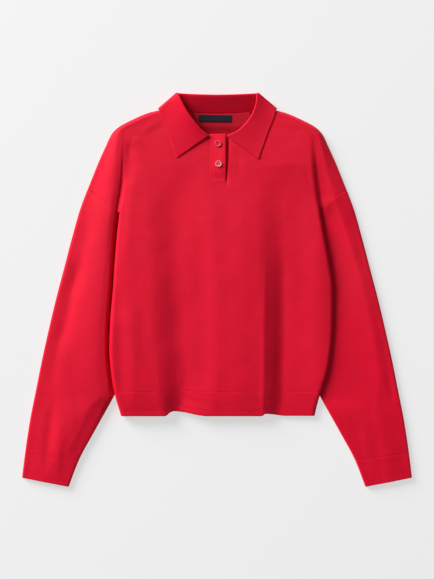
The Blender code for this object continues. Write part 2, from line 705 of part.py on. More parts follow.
def front_opening():
    """The neck hole and the placket's slot, as one outline seen from above."""
    left, right = neckline(front=True)
    left, right = away_from_neck(left), away_from_neck(right)
    slot = [
        (PLACKET_LEFT - SEAM_GAP, left[-1][1] - 0.4),
        (PLACKET_LEFT - SEAM_GAP, PLACKET_BOTTOM - SEAM_GAP),
        (PLACKET_RIGHT + SEAM_GAP, PLACKET_BOTTOM - SEAM_GAP),
        (PLACKET_RIGHT + SEAM_GAP, right[-1][1] - 0.4),
    ]
    above = 400.0
    outline = [(left[0][0], above), *left, *slot, *right[::-1], (right[0][0], above)]
    return outline


def away_from_neck(points, middle=(1.0, 330.0)):
    """Moves points of the neckline outwards by the seam's gap."""
    offset = points - np.array(middle)
    return points + NECK_SEAM * offset / np.linalg.norm(offset, axis=1, keepdims=True)


def back_opening():
    """The back of the neck hole, as an outline seen from above."""
    left, right = neckline(front=False)
    left = left + np.array([0.0, -0.8])
    right = right + np.array([0.0, -0.8])
    above = 400.0
    return [(left[0][0], above), *left, *right[1:], (right[-1][0], above)]


def flat_strip(name, low, high, columns, rows, height, thickness, material):
    """A strip that lies along the front panel, with its middle at the height given."""
    xs, ys = np.linspace(low[0], high[0], columns), np.linspace(low[1], high[1], rows)
    grid = [[(x, y, float(height(x, y))) for x in xs] for y in ys]
    return wall(name, grid, thickness, material)


def button(name, place, material):
    """A four-hole button: a turned disc with a raised rim and a shallow dish."""
    radius, thick = BUTTON_DIAMETER / 2, BUTTON_THICKNESS
    profile = [
        (0.0, 0.0),
        (radius * 0.72, 0.0),
        (radius, thick * 0.42),
        (radius, thick * 0.68),
        (radius * 0.9, thick),
        (radius * 0.74, thick),
        (radius * 0.6, thick * 0.66),
        (0.0, thick * 0.6),
    ]
    sides = 20
    angles = np.linspace(0, 2 * np.pi, sides, endpoint=False)
    rings = profile[1:-1]
    points = [(r * np.cos(a), r * np.sin(a), z) for r, z in rings for a in angles]
    faces = []
    for k in range(len(rings) - 1):
        for s in range(sides):
            t = (s + 1) % sides
            faces.append((k * sides + s, k * sides + t, (k + 1) * sides + t, (k + 1) * sides + s))
    faces.append(tuple(range(sides))[::-1])
    faces.append(tuple((len(rings) - 1) * sides + s for s in range(sides)))
    x, y = place
    base = float(front_height(x, y)) + BAND_WALL + 0.15 + SEAM_GAP
    placed = [(px + x, py + y, pz + base) for px, py, pz in points]
    piece = solid(name, placed, faces, material)
    half = BUTTON_HOLE_SPACING / 2
    for index, (dx, dy) in enumerate(((-half, -half), (half, -half), (half, half), (-half, half))):
        around = np.linspace(0, 2 * np.pi, 8, endpoint=False)
        hole = [
            (x + dx + BUTTON_HOLE_DIAMETER / 2 * np.cos(a), y + dy + BUTTON_HOLE_DIAMETER / 2 * np.sin(a))
            for a in around
        ]
        cut(piece, hole, f"hole_{index}")
    return piece


def build():
    for old in list(bpy.data.objects):
        bpy.data.objects.remove(old)
    knit = cloth_material("knit", KNIT_RED, 0.9)
    shell = cloth_material("button_shell", BUTTON_RED, 0.35)
    tape = cloth_material("label_tape", LABEL_NAVY, 0.6)

    front = wall("front_panel", rows_of(front_section, PANEL_ROWS), WALL, knit)
    cut(front, front_opening())
    wall("hem_band_front", rows_of(front_section, BAND_ROWS), WALL, knit)
    back = wall("back_panel", rows_of(back_section, PANEL_ROWS), WALL, knit)
    cut(back, back_opening())
    wall("hem_band_back", rows_of(back_section, BAND_ROWS), WALL, knit)

    for side in (-1, 1):
        cuff = [sleeve_ring(side, s) for s in np.linspace(0.0, 0.985, 4)]
        sleeve = [sleeve_ring(side, s) for s in np.linspace(0.992, 10.0, 17)]
        wall(f"cuff_{side_name(side)}", cuff, WALL, knit, ring=True)
        wall(f"sleeve_{side_name(side)}", sleeve, WALL, knit, ring=True)

    wall("collar", collar_point_rows(), COLLAR_WALL, knit)

    flat_strip(
        "placket_upper_band",
        (PLACKET_LEFT, PLACKET_BOTTOM),
        (UPPER_BAND_RIGHT, PLACKET_TOP),
        5, 8, lambda x, y: front_height(x, y) + BAND_WALL / 2 + 0.15, BAND_WALL, knit,
    )
    flat_strip(
        "placket_under_band",
        (UNDER_BAND_LEFT, PLACKET_BOTTOM),
        (PLACKET_RIGHT, PLACKET_TOP - 3.0),
        5, 8, lambda x, y: front_height(x, y) - WALL / 2 - 0.15, WALL, knit,
    )
    for name, place in BUTTON_PLACES.items():
        button(name, place, shell)

    turn = np.radians(LABEL_TURN)
    half_x, half_y = LABEL_SIZE[0] / 2, LABEL_SIZE[1] / 2
    grid = []
    for v in np.linspace(-half_y, half_y, 3):
        row = []
        for u in np.linspace(-half_x, half_x, 7):
            x = LABEL_CENTRE[0] + u * np.cos(turn) + v * np.sin(turn)
            y = LABEL_CENTRE[1] - u * np.sin(turn) + v * np.cos(turn)
            row.append((x, y, float(back_height(x, y)) + WALL / 2 + SEAM_GAP + LABEL_WALL / 2))
        grid.append(row)
    wall("neck_label", grid, LABEL_WALL, tape)


build()
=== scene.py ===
"""The looks of a fine-knit polo sweater laid flat on its back, over the frame that its solids give.

Tables and named sizes are in millimetres, and each mesh is written in metres. X runs to the viewer's
right, Y from the hem towards the collar and Z up from the surface. "Left" and "right" are the viewer's.
Each piece of cloth is a surface of two parameters, one along the garment and one across it, worked out
as whole arrays and then thickened.
"""

import bpy
import numpy as np
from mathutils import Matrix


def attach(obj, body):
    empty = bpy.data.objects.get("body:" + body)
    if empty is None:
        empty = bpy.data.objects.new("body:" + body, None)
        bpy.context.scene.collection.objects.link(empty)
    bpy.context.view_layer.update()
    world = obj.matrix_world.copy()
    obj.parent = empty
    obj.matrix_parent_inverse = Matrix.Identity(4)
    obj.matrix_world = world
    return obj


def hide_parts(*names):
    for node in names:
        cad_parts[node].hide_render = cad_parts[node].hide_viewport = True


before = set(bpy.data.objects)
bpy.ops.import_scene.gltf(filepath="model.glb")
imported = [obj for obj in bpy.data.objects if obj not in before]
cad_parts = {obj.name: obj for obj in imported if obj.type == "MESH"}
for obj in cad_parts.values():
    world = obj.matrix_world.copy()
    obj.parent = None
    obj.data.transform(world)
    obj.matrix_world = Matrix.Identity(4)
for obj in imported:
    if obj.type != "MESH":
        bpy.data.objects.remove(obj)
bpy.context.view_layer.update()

MM = 0.001

# Cloth and seams
WALL = 2.0
SEAM_GAP = 0.3
ARMHOLE_SEAM = 0.8  # between the edges of the sleeve and of the body, which are set between their rows
SHOULDER_SEAM = 0.8  # from the front cloth's middle to the back cloth's, at the fold along the shoulder
STEP_UP = WALL + SEAM_GAP  # from the middle of one layer to the middle of the next one on it

# Heights of the middle of each layer above the surface
FLOOR_LAYER = WALL / 2
SLEEVE_UNDER_BODY = FLOOR_LAYER + STEP_UP
BODY_OVER_SLEEVE = SLEEVE_UNDER_BODY + STEP_UP
BACK_AT_NECK = 3.9

# Main places along Y
HEM_Y = -225.9
BAND_HEIGHT = 43.0
BAND_TOP_Y = HEM_Y + BAND_HEIGHT
UNDERARM_Y = 50.4
ARMHOLE_TOP_Y = 179.0
CROSSING_Y = {-1: 131.0, 1: 144.0}  # where the armhole seam goes under the body's side edge
LIFT_FULL = 4.0  # how far above the crossing the front panel still lies over the sleeve's end
LIFT_END = 30.0
LAP = 2.2  # how far the front's edge laps over the sleeve's end beside the crossing
LAP_START, LAP_GROWS_OVER = -30.0, 18.0
LAP_END, LAP_FADES_OVER = 3.0, 6.0
OFF_SLEEVE_Y, OFF_SLEEVE_OVER = -214.0, 20.0  # where the body's lowest layer comes down off the sleeve
OWN_FOLD_BELOW_Y = -196.0  # below it the sleeve's inner fold is clear of the body
OWN_FOLD_ROWS = 5
CLEAR_OF_BODY = 2.0
SHOULDER_MARGIN = 12.0  # from the shoulder's fold to the body's side edge
OUTER_FOLD = 2.9  # how round the outermost edge is on the sleeve
SHOULDER_FOLD_MORE, SHOULDER_FOLD_Y, SHOULDER_FOLD_OVER = 4.0, 240.0, 50.0
SLANT_STEP = 2.0
CLIMB_BEFORE_SLEEVE = 23.8
CLIMB_TOP_Y, CLIMB_TOP_OVER = 78.0, 24.0
ON_FALL_Y, ON_FALL_OVER = 282.0, 15.0  # where the back begins to lie on the collar's fall
BODY_TOP_Y = 330.4

# Placket and buttons
PLACKET_LEFT = -13.9
PLACKET_RIGHT = 22.6
PLACKET_BOTTOM = 200.0
PLACKET_TOP = 279.5
UPPER_BAND_RIGHT = 15.3
UNDER_BAND_LEFT = -9.0
BUTTON_PLACES = {"button_upper": (1.8, 262.8), "button_lower": (2.9, 226.3)}
BUTTON_DIAMETER = 11.6
BUTTON_THICKNESS = 2.6
BUTTON_HOLE_DIAMETER = 1.7
BUTTON_HOLE_SPACING = 2.9

# Neck label
LABEL_CENTRE = (-3.4, 309.0)
LABEL_SIZE = (58.5, 12.4)
LABEL_TURN = 1.0  # degrees


def table(columns, *rows):
    """A short table: each named column becomes an array."""
    return {name: np.array(values, float) for name, values in zip(columns.split(), zip(*rows))}


# The body's side edge, as its distance from the centre line.
SIDE_EDGE = table(
    "y left right",
    (-225.9, 171.9, 175.1),
    (-198, 180, 181.8),
    (-171, 186.3, 190),
    (-144, 189.9, 198),
    (-108, 192.6, 203.4),
    (-54, 190.8, 207),
    (0, 186.3, 207),
    (54, 182.7, 199.8),
    (108, 178.2, 189.9),
    (147.6, 172.8, 183.6),
    (190.8, 165.6, 177.5),
    (234, 162.9, 172.8),
    (275, 160, 170),
)

# How far the front panel is turned in under the body, from the side edge to the side seam.
TURN_UNDER = table(
    "y width",
    (-225.9, 7),
    (-190, 8.5),
    (-144, 13),
    (-108, 19),
    (-54, 28),
    (0, 38),
    (50.4, 49.5),
)

# The armhole seam, from the underarm to the top of the shoulder, as distances from the centre line.
ARMHOLE = table(
    "x y",
    (133.2, 50.4),
    (150, 92),
    (172, 129),
    (191, 150),
    (213, 168),
    (233, 179),
)

# The outline over the shoulder and the upper arm, above the armhole seam.
SHOULDER = table(
    "y x",
    (179, 233),
    (197.1, 225.9),
    (229.5, 212.7),
    (258.3, 199.6),
    (279.9, 189.2),
    (287.1, 183.2),
    (294.3, 174.2),
    (301.5, 161),
    (308.7, 146),
    (316.5, 128),
    (320.3, 116),
    (322.4, 106),
    (325.2, 95),
    (328.5, 86),
)

# The sleeve, from the cuff to the armhole: its outer fold, its inner fold, and how much of the cap's
# curve it has.
SLEEVE = table(
    "outer_x outer_y inner_x inner_y cap",
    (350.5, -337.5, 268, -353.7, 0),
    (345, -293, 249.5, -306, 0),
    (336.2, -235, 222, -255, 0),
    (325.6, -181, 194, -205, 0),
    (314.8, -127, 165, -150, 0),
    (302.8, -73, 143, -100, 0),
    (290, -19, 127, -48, 0.05),
    (275.8, 35, 120.5, -4, 0.25),
    (261.5, 89, 124, 25, 0.6),
    (246.2, 143, 130.5, 44.5, 0.9),
    (233, 179, 133.2, 50.4, 1),
)

# The height of the sleeve's upper cloth: beside its folds, at each side's crest, and where it runs under
# the body. Steep is the share of its fall that it makes at once beside the body.
SLEEVE_HEIGHT = table(
    "y outer left right left_at right_at inner left_steep right_steep",
    (-353.7, 6.8, 8.4, 8.4, 0.50, 0.50, 6.8, 0, 0),
    (-300, 7, 10.2, 9.4, 0.56, 0.50, 7.2, 0, 0),
    (-240, 7, 12, 9, 0.64, 0.46, 7, 0.15, 0),
    (-215, 7, 12.6, 8.4, 0.72, 0.36, 6, 0.30, 0.02),
    (-192, 7, 13.4, 7.9, 0.80, 0.28, 3.3, 0.58, 0.04),
    (-150, 7, 14.8, 7.7, 0.81, 0.24, 3.3, 0.70, 0.05),
    (-100, 7, 16, 7.7, 0.82, 0.24, 3.3, 0.76, 0.05),
    (0, 7, 17.2, 7.8, 0.82, 0.28, 3.3, 0.76, 0.06),
    (100, 7, 17, 8.3, 0.79, 0.38, 3.3, 0.66, 0.14),
    (140, 7, 17, 8.9, 0.77, 0.44, 3.3, 0.56, 0.24),
    (160, 7, 16.9, 9.3, 0.75, 0.48, 4.6, 0.56, 0.28),
    (184, 7, 16.6, 9.9, 0.73, 0.50, 6, 0.58, 0.32),
    (215, 7.4, 16.2, 11, 0.68, 0.52, 8.6, 0.60, 0.38),
    (240, 8, 15.6, 12.6, 0.62, 0.52, 11.5, 0.60, 0.45),
    (275, 9, 14.5, 13.2, 0.50, 0.45, 13.2, 0.30, 0.30),
    (334.8, 9.5, 12, 12, 0.40, 0.40, 12, 0, 0),
)
STEEP_REACH = 7.5  # how far from the body the steep part goes
FALL_BOW = {-1: 1.5, 1: 1.9}  # a power: the gentle part bows up on the left sleeve, down on the right

# The front of the body: its height beside the left side edge, before its three long folds change it.
FRONT_HEIGHT = table(
    "y z",
    (-225.9, 15.8),
    (-180, 19.6),
    (-100, 21.5),
    (0, 21.5),
    (90, 20),
    (135, 18.8),
    (180, 17),
    (216, 15.6),
    (270, 14),
    (334.8, 12),
)

# The walls of the folds down the front: the places across where each begins and ends, and how far it
# falls. The left fold's second wall rises from the first one's end, so its fall is less than 0.
FOLDS = table(
    "y left_start left_end rise_end right_start right_end left_fall rise_fall right_fall",
    (-225.9, -97, -68, -10, 82, 112, 8.8, -7.8, 8),
    (-198, -105, -60, 0, 81, 118, 10.4, -9, 9.2),
    (-126, -112, -52, 6, 80, 120, 11, -9.2, 10.7),
    (-72, -120, -56, 6, 77, 122, 10.6, -9, 10.6),
    (0, -121, -54, 4, 74, 123, 9.2, -8.2, 9.4),
    (90, -125, -60, -2, 71, 122, 6.4, -5.9, 6.4),
    (135, -127, -63, -4, 70, 120, 5, -4.5, 5),
    (180, -124, -65, -8, 69, 117, 2.8, -2.2, 3),
    (225, -120, -66, -12, 68, 114, 0, 0, 0),
)
WALLS = (
    ("left_start", "left_end", "left_fall"),
    ("left_end", "rise_end", "rise_fall"),
    ("right_start", "right_end", "right_fall"),
)

# Where the folds draw the hem up, across the front.
HEM_DRAW = table("start top end draw", (-94.0, -80.0, -16.0, 9.0), (80.0, 87.0, 124.0, 4.0))
HEM_DRAW_TOP_Y = -150.0
CLIMB_WIDTH = 15.0

# The collar from its left front end, round the back of the neck, to its right front end. The seam joins
# it to the neckline, the roll is its upper fold, and the edge is that of the turned-down fall. Turn is
# the side that the fall lies on: 0 above the stand, 90 outside it, 180 below it.
COLLAR = table(
    "seam_x seam_y roll_x roll_y roll_z edge_x edge_y edge_z turn",
    (-15.8, 275.6, -15, 277.6, 17.2, -72, 237.6, 17.4, 0),
    (-30.5, 281, -27, 287.1, 19.8, -77, 252, 17.2, 0),
    (-49, 294, -40.3, 302.4, 22.8, -83.5, 270, 16.8, 0),
    (-67, 312, -55, 323, 24.5, -91, 290, 16.2, 0),
    (-77.5, 322.5, -65, 342, 24.2, -98, 308.5, 15.4, 6),
    (-81.5, 327, -69.5, 351, 22.4, -103.9, 322.8, 13.2, 40),
    (-82.5, 328.6, -71.2, 352.6, 19.6, -105.5, 326.9, 6.5, 90),
    (-79, 327.2, -68, 352.4, 17.8, -103.8, 324.6, 1.9, 140),
    (-66, 322.5, -55, 351.6, 16.4, -84, 310.5, 1.2, 180),
    (-36, 318.6, -29, 350.4, 17.4, -44, 306, 1.2, 180),
    (0, 317.7, 1, 349.8, 17.8, 1, 304.5, 1.2, 180),
    (36, 318.6, 31, 350.4, 17.4, 46, 306, 1.2, 180),
    (66, 322.5, 57, 351.6, 16.4, 86, 310.5, 1.2, 180),
    (79, 327.2, 69.8, 352.4, 16.2, 105.8, 324.6, 1.9, 140),
    (82.5, 328.6, 73, 352.6, 17, 107.5, 326.9, 6.5, 90),
    (81.5, 327, 71.3, 351, 17.4, 105.9, 322.8, 13.2, 40),
    (78.5, 320.5, 70.5, 339, 17.5, 100.4, 306, 15.4, 6),
    (71.5, 308, 64.5, 318.6, 17.6, 93, 288, 16.2, 0),
    (58, 291, 53, 301, 17.7, 86, 268, 16.8, 0),
    (39.5, 279.5, 36.5, 285.6, 17.8, 79.6, 250, 17.2, 0),
    (24.8, 274.6, 19, 277, 17.6, 74.7, 234.9, 17.4, 0),
)
ROLL_RADIUS = 1.4
NECK_SEAM = 1.6  # from the middle of the stand's cloth to the front panel's edge


def smooth(at, xs, ys):
    """A smooth curve through the points (xs, ys) that never swings past them, read at the places
    given."""
    at, xs, ys = np.asarray(at, float), np.asarray(xs, float), np.asarray(ys, float)
    run, rise = np.diff(xs), np.diff(ys)
    chord = rise / run
    slope = np.zeros(len(xs))
    slope[[0, -1]] = chord[[0, -1]]
    before, after = chord[:-1], chord[1:]
    same_way = before * after > 0
    weight_a, weight_b = 2 * run[1:] + run[:-1], run[1:] + 2 * run[:-1]
    safe_before, safe_after = np.where(same_way, before, 1.0), np.where(same_way, after, 1.0)
    mean = (weight_a + weight_b) / (weight_a / safe_before + weight_b / safe_after)
    slope[1:-1] = np.where(same_way, mean, 0.0)
    at = np.clip(at, xs[0], xs[-1])
    k = np.clip(np.searchsorted(xs, at, side="right") - 1, 0, len(run) - 1)
    t = (at - xs[k]) / run[k]
    start = (1 + 2 * t) * (1 - t) ** 2 * ys[k] + t * (1 - t) ** 2 * run[k] * slope[k]
    end = t * t * (3 - 2 * t) * ys[k + 1] - t * t * (1 - t) * run[k] * slope[k + 1]
    return start + end


def read(named, column, at, key="y"):
    """One column of a table, read smoothly at places along its key column."""
    return smooth(at, named[key], named[column])


def ease(t):
    """0 before 0, 1 after 1, and a soft step between them."""
    t = np.clip(t, 0.0, 1.0)
    return t * t * (3 - 2 * t)


def side_name(side):
    """The tables' word for a side, -1 or 1."""
    return "left" if side < 0 else "right"


def edge_x(side, y):
    """The distance of the body's side edge from the centre line. On the shoulder it keeps inside the
    outline."""
    return np.minimum(read(SIDE_EDGE, side_name(side), y), outline_x(y) - fold_radius(y) - SHOULDER_MARGIN)


def outline_x(y):
    """The distance of the outermost edge from the centre line: the sleeve's fold, then the shoulder."""
    xs = np.concatenate([SLEEVE["outer_x"][:-1], SHOULDER["x"]])
    ys = np.concatenate([SLEEVE["outer_y"][:-1], SHOULDER["y"]])
    return smooth(y, ys, xs)


def inner_limit_x(side, y):
    """Where the sleeve's upper cloth reaches its low inner side: the body's edge, or its own fold below
    the body."""
    own_fold = smooth(y, SLEEVE["inner_y"][:OWN_FOLD_ROWS], SLEEVE["inner_x"][:OWN_FOLD_ROWS])
    under_body = edge_x(side, y) + CLEAR_OF_BODY
    return np.where(np.asarray(y) < OWN_FOLD_BELOW_Y, np.maximum(own_fold, under_body), under_body)


def shoulder_level(y):
    """The height of the seam along the outermost edge."""
    return (read(SLEEVE_HEIGHT, "outer", y) + FLOOR_LAYER) / 2


def fold_radius(y):
    """How round the outermost edge is, measured along X: tight on the sleeve and softer on the
    shoulder."""
    slant = (outline_x(y - SLANT_STEP) - outline_x(y + SLANT_STEP)) / (2 * SLANT_STEP)
    across = OUTER_FOLD + SHOULDER_FOLD_MORE * ease((y - SHOULDER_FOLD_Y) / SHOULDER_FOLD_OVER)
    return across * np.sqrt(1 + slant**2)


def sleeve_height(side, x, y):
    """The height of the upper cloth outside the body's side edge, at distance x from the centre line: a
    soft step up from the outer fold to the crest, then a fall towards the body, of which the steep share
    comes last."""
    outer, inner, name = outline_x(y), inner_limit_x(side, y), side_name(side)
    across = np.clip((outer - x) / (outer - inner), 0.0, 1.0)
    low_out, crest = read(SLEEVE_HEIGHT, "outer", y), read(SLEEVE_HEIGHT, name, y)
    low_in, crest_at = read(SLEEVE_HEIGHT, "inner", y), read(SLEEVE_HEIGHT, name + "_at", y)
    steep = read(SLEEVE_HEIGHT, name + "_steep", y)
    rising = low_out + (crest - low_out) * ease(across / crest_at)
    way = np.clip((1 - across) / (1 - crest_at), 0.0, 1.0)
    gentle = 1 - (1 - way) ** FALL_BOW[side] if side < 0 else way ** FALL_BOW[side]
    falling = low_in + (crest - low_in) * (steep * ease((x - inner) / STEEP_REACH) + (1 - steep) * gentle)
    height = np.where(across < crest_at, rising, falling)
    return round_off(height, outer - x, y)


def round_off(height, inside, y):
    """Brings a layer to the seam level where it nears the outermost edge, along a quarter of an
    ellipse."""
    level, radius = shoulder_level(y), fold_radius(y)
    left_over = np.clip(1 - np.clip(inside, 0.0, None) / radius, 0.0, 1.0)
    return level + (height - level) * np.sqrt(1 - left_over**2)


def front_height(x, y):
    """The height of the middle of the front panel's upper layer."""
    height = read(FRONT_HEIGHT, "z", y)
    for wall in WALLS:
        start, end, fall = (read(FOLDS, column, y) for column in wall)
        height = height - fall * ease((x - start) / (end - start))
    return height


def hem_draw(x, y):
    """How far the folds draw the cloth up near the hem."""
    fade = ease((HEM_DRAW_TOP_Y - y) / (HEM_DRAW_TOP_Y - HEM_Y))
    draw = np.zeros_like(x)
    for start, top, end, most in zip(*(HEM_DRAW[key] for key in ("start", "top", "end", "draw"))):
        draw = draw + most * ease((x - start) / (top - start)) * ease((end - x) / (end - top))
    return draw * fade


def body_level(y):
    """The height of the body's lowest layer at its side edges: on the sleeve, and on the surface near
    the hem."""
    return FLOOR_LAYER + (BODY_OVER_SLEEVE - FLOOR_LAYER) * ease((y - OFF_SLEEVE_Y) / OFF_SLEEVE_OVER)


def climb_start(y):
    """Where the back panel begins to climb onto the sleeve, as a distance from the centre line."""
    return smooth(y, SLEEVE["inner_y"], SLEEVE["inner_x"]) - CLIMB_BEFORE_SLEEVE


def back_height(x, y):
    """The height of the middle of the back panel: flat, but lying on the sleeves and on the collar's
    fall."""
    x, y = np.abs(x), np.asarray(y, float)
    climb = (x - climb_start(y)) / CLIMB_WIDTH
    on_sleeve = ease(climb) * ease((CLIMB_TOP_Y - y) / CLIMB_TOP_OVER)
    on_sleeve = on_sleeve * ease((y - OFF_SLEEVE_Y) / OFF_SLEEVE_OVER)
    on_fall = ease((y - ON_FALL_Y) / ON_FALL_OVER)
    height = FLOOR_LAYER + (BODY_OVER_SLEEVE - FLOOR_LAYER) * on_sleeve
    height = height + (BACK_AT_NECK - FLOOR_LAYER) * on_fall
    return np.where(y > ARMHOLE_TOP_Y, round_off(height, outline_x(y) - x, y), height)


def seam_x(side, y):
    """The distance of the front panel's own edge from the centre line: side seam, armhole seam, then
    shoulder seam."""
    side_seam = edge_x(side, y) - read(TURN_UNDER, "width", y)
    underarm = edge_x(side, UNDERARM_Y) - TURN_UNDER["width"][-1]
    armhole = smooth(y, ARMHOLE["y"], ARMHOLE["x"])
    crossing = CROSSING_Y[side]
    shift = (underarm - ARMHOLE["x"][0]) * ease((crossing - y) / (crossing - UNDERARM_Y))
    above = np.where(y < ARMHOLE_TOP_Y, armhole + shift, outline_x(y))
    return np.where(y < UNDERARM_Y, side_seam, above)


def lift_over_sleeve(side, y):
    """How far the front lies above the sleeve's own level beside the body's edge."""
    above = y - CROSSING_Y[side]
    return STEP_UP * ease((LIFT_END - above) / (LIFT_END - LIFT_FULL))


def lap_over_sleeve(side, y):
    """How far the front's edge laps over the sleeve's end where the two go under the body's edge."""
    above = y - CROSSING_Y[side]
    return LAP * ease((LAP_END - above) / LAP_FADES_OVER) * ease((above - LAP_START) / LAP_GROWS_OVER)


# What only the looks need

CLOTH = 1.9  # thickness of the knit as it is seen
COLLAR_CLOTH = 1.4
UPPER_BAND_CLOTH = 2.0
UNDER_BAND_CLOTH = 1.6
LABEL_CLOTH = 0.7
LEAF_GAP = 0.1  # between the collar's fall and the front that it lies on
RIM_BULGE = 0.8  # how far an edge rounds out, in half thicknesses
RIM_STEPS = 3
CREASE_END, CREASE_END_OVER = 0.22, 0.4  # how far past its ends a crease fades out, in its lengths
CREASES_OFF_FOLD = 12.0  # how far from the sleeve's outer fold its creases have their full height
CREASES_OFF_BODY, CREASES_OFF_BODY_OVER = 2.0, 16.0
BEND_WEIGHT = 5.0  # how much length a bend of one radian counts for
ROW_SPAN = 0.999  # of the whole number that each row has for itself
EDGE_RADIUS = 6.0
EDGE_DROP = 0.45  # the share of the body's height that its rolled edge spends on coming down
TUCK_OVER = 8.0  # along Y, where the front's cloth goes from the valley in under the body
VALLEY_REACH = 7.0
VALLEY_SHORTENS = 0.35
SEAM_DIP = 0.12  # how far cloth dips into a linked seam
SEAM_DIP_WIDTH = 2.2
SEAM_SEEN_FROM, SEAM_SEEN_OVER = -12.0, 8.0  # along Y, above the crossing
SEAM_END_Y, SEAM_ENDS_OVER = ARMHOLE_TOP_Y + 3.0, 3.0
SEAM_ON_FRONT = 0.63  # the share of a row's way that leads straight off the slanting armhole seam
SLEEVE_SEAM_SEEN_FROM, SLEEVE_SEAM_SEEN_OVER = -14.0, 10.0
MEETING_REACH = 16.0  # how far from its seam the sleeve rises to the front's level
MEETING_OVER = 4.0
BAND_LINE_DEPTH = 0.22
BAND_LINE_WIDTH = 1.1
HEM_LINE_ABOVE = 8.5  # the line of the hem's inner edge, above the hem
HEM_LINE_DEPTH = 0.22
HEM_LINE_WIDTH = 1.6
UPPER_LAYER_FADE = 3.0  # the lines show where the cloth lies higher than the body over the sleeve
CUFF_LINE_AT, CUFF_LINE_WIDTH = 0.985, 0.025  # in rows of the sleeve's table
CUFF_HEM_AT, CUFF_HEM_WIDTH = 0.2, 0.03

# The front's grid: how many rows and columns each stretch has, and where the folds' columns go above them
BODY_ROWS = (
    (HEM_Y, HEM_Y + 14, 10),
    (HEM_Y + 14, BAND_TOP_Y - 4, 10),
    (BAND_TOP_Y - 4, BAND_TOP_Y + 4, 9),
    (BAND_TOP_Y + 4, UNDERARM_Y, 52),
    (UNDERARM_Y, 118.0, 18),
    (118.0, SEAM_END_Y, 30),
    (SEAM_END_Y, BODY_TOP_Y, 52),
)
SIDE_COLUMNS = 38
UPPER_COUNTS = (18, 30, 20, 18, 20, 24, 26)
ROLL_STEPS, RUN_STEPS, OUT_ROUND_STEPS = 30, 50, 14
ROUND_FROM, LEAST_RUN = 1.02, 0.5  # where the run over the shoulder begins to round, in the fold's radii
SIDE_GATHER = 1.35  # how much closer the columns are towards the side edge
EVEN_LEFT, EVEN_RIGHT = (0.3, 0.7), (0.35, 0.65)
FOLDS_TOP_Y, FOLDS_TOP_OVER = 195.0, 55.0
SLOT_LEFT = PLACKET_LEFT - SEAM_GAP
SLOT_RIGHT = PLACKET_RIGHT + SEAM_GAP
SLOT_BOTTOM = PLACKET_BOTTOM - SEAM_GAP
SLIT_FOOT = (17.7, 193.5)
SLIT_FOOT_HALF = 0.9
SLIT_SIDE = ((19.8, 214.0), (21.8, 236.0), (SLOT_RIGHT, 262.0))  # its leaning right side, from the foot up
SLOT_UNDER_COLLAR = 0.4  # how far the slot's ends lie below the collar's seam
CUT_REACH = 4.0  # how far a corner may move to reach a cut
ABOVE_ALL_Y = 400.0
NECK_MIDDLE = (1.0, 330.0)
NECK_SAMPLES = 40

# The back's grid
BACK_COUNTS = (22, 12, 10)
BACK_FINE_Y = 250.0  # above it the back has all of the front's rows, and half of them below
BACK_DRAW = 0.88  # the share of the front hem's draw that the back hem follows
BACK_NECK_SEAM = 0.8
BACK_CLIMB_Y = -205.0  # below it the columns that follow the climb run straight
BACK_CLIMB_IN = (20.0, 3.0)  # how far inside the edge the climb's columns stay
BACK_SHOULDER = (0.8, 0.55)  # those columns on the shoulder: a share of the width, and of the fold's radius

# The sleeve's grid
SLEEVE_ROWS = ((0.0, 0.12, 6), (0.12, 0.90, 14), (0.90, 1.06, 10), (1.06, 9.2, 92), (9.2, 10.0, 14))
SLEEVE_UPPER = (48, 16, 14)
SLEEVE_LOWER, INNER_TURN, OUTER_TURN = 40, 8, 12
MEETS_TRIALS, MEETS_INSIDE, MEETS_BETWEEN = 200, 1.0, (0.3, 0.94)  # where the body covers the sleeve
BESIDE_BODY = 11.0  # how much of the sleeve beside the body has closer columns
ARMHOLE_OUT = (0.79, -0.61)  # straight off the armhole seam

# The collar's grid
COLLAR_ALONG, COLLAR_STAND, COLLAR_ROUND, COLLAR_FALL = 190, 9, 12, 30
BACK_FALL_SAG = 4

# The placket's bands
BAND_COLUMNS, BAND_ROWS = 26, 70
BAND_LIFT = 1.7  # how far the upper band's free edge stands up
BAND_LIFT_FROM, BAND_LIFT_OVER = (-6.0, PLACKET_BOTTOM - 2.0), (20.0, 26.0)  # across and along
BAND_PUFF = 0.65
BAND_PUFF_OVER = (12.0, 14.0)
BAND_OVER_FRONT = 0.1
BAND_STITCH_Y, BAND_STITCH_DEPTH, BAND_STITCH_WIDTH = 203.2, 0.3, 0.9
UNDER_BAND_BELOW = 0.9
UNDER_BAND_FOOT = 1.5  # how far it goes on below the slit's foot
UNDER_BAND_TOP = 3.0  # how far it ends below the upper band's top

# The buttons and their thread
BUTTON_SIDES = 96
BUTTON_STANDS = 1.35  # above the middle of the band's cloth
BUTTON_DISH = 0.58  # the height of the dish, as a share of the thickness
BUTTON_HOLE_DEPTH = 0.5
BUTTON_HOLE_REACH = 0.62 * BUTTON_HOLE_DIAMETER  # from a hole's middle to the brim of its steep wall
BUTTON_HOLE_WALL = 0.45
THREAD_RADIUS = 0.42
THREAD_STEPS, THREAD_SPAN = 17, 1.08  # the span in spacings of the holes
THREAD_RISE, THREAD_DIP, THREAD_DIP_FROM = 0.42, 1.1, 0.72

TIP_SHARE = 0.02  # how wide a cord's end is, as a share of the cord

# The label and its stitches
LABEL_COLUMNS, LABEL_ROWS = 60, 14
LABEL_PUFF = 0.25
LABEL_STITCH_IN = 1.6  # from the label's end to its stitches
LABEL_STITCHES, LABEL_STITCH_STEPS = 6, 9
LABEL_STITCH_SHARE = 0.84  # of the way from one stitch to the next
LABEL_STITCH_RADIUS, LABEL_STITCH_RISE, LABEL_STITCH_SUNK = 0.16, 0.22, 0.1

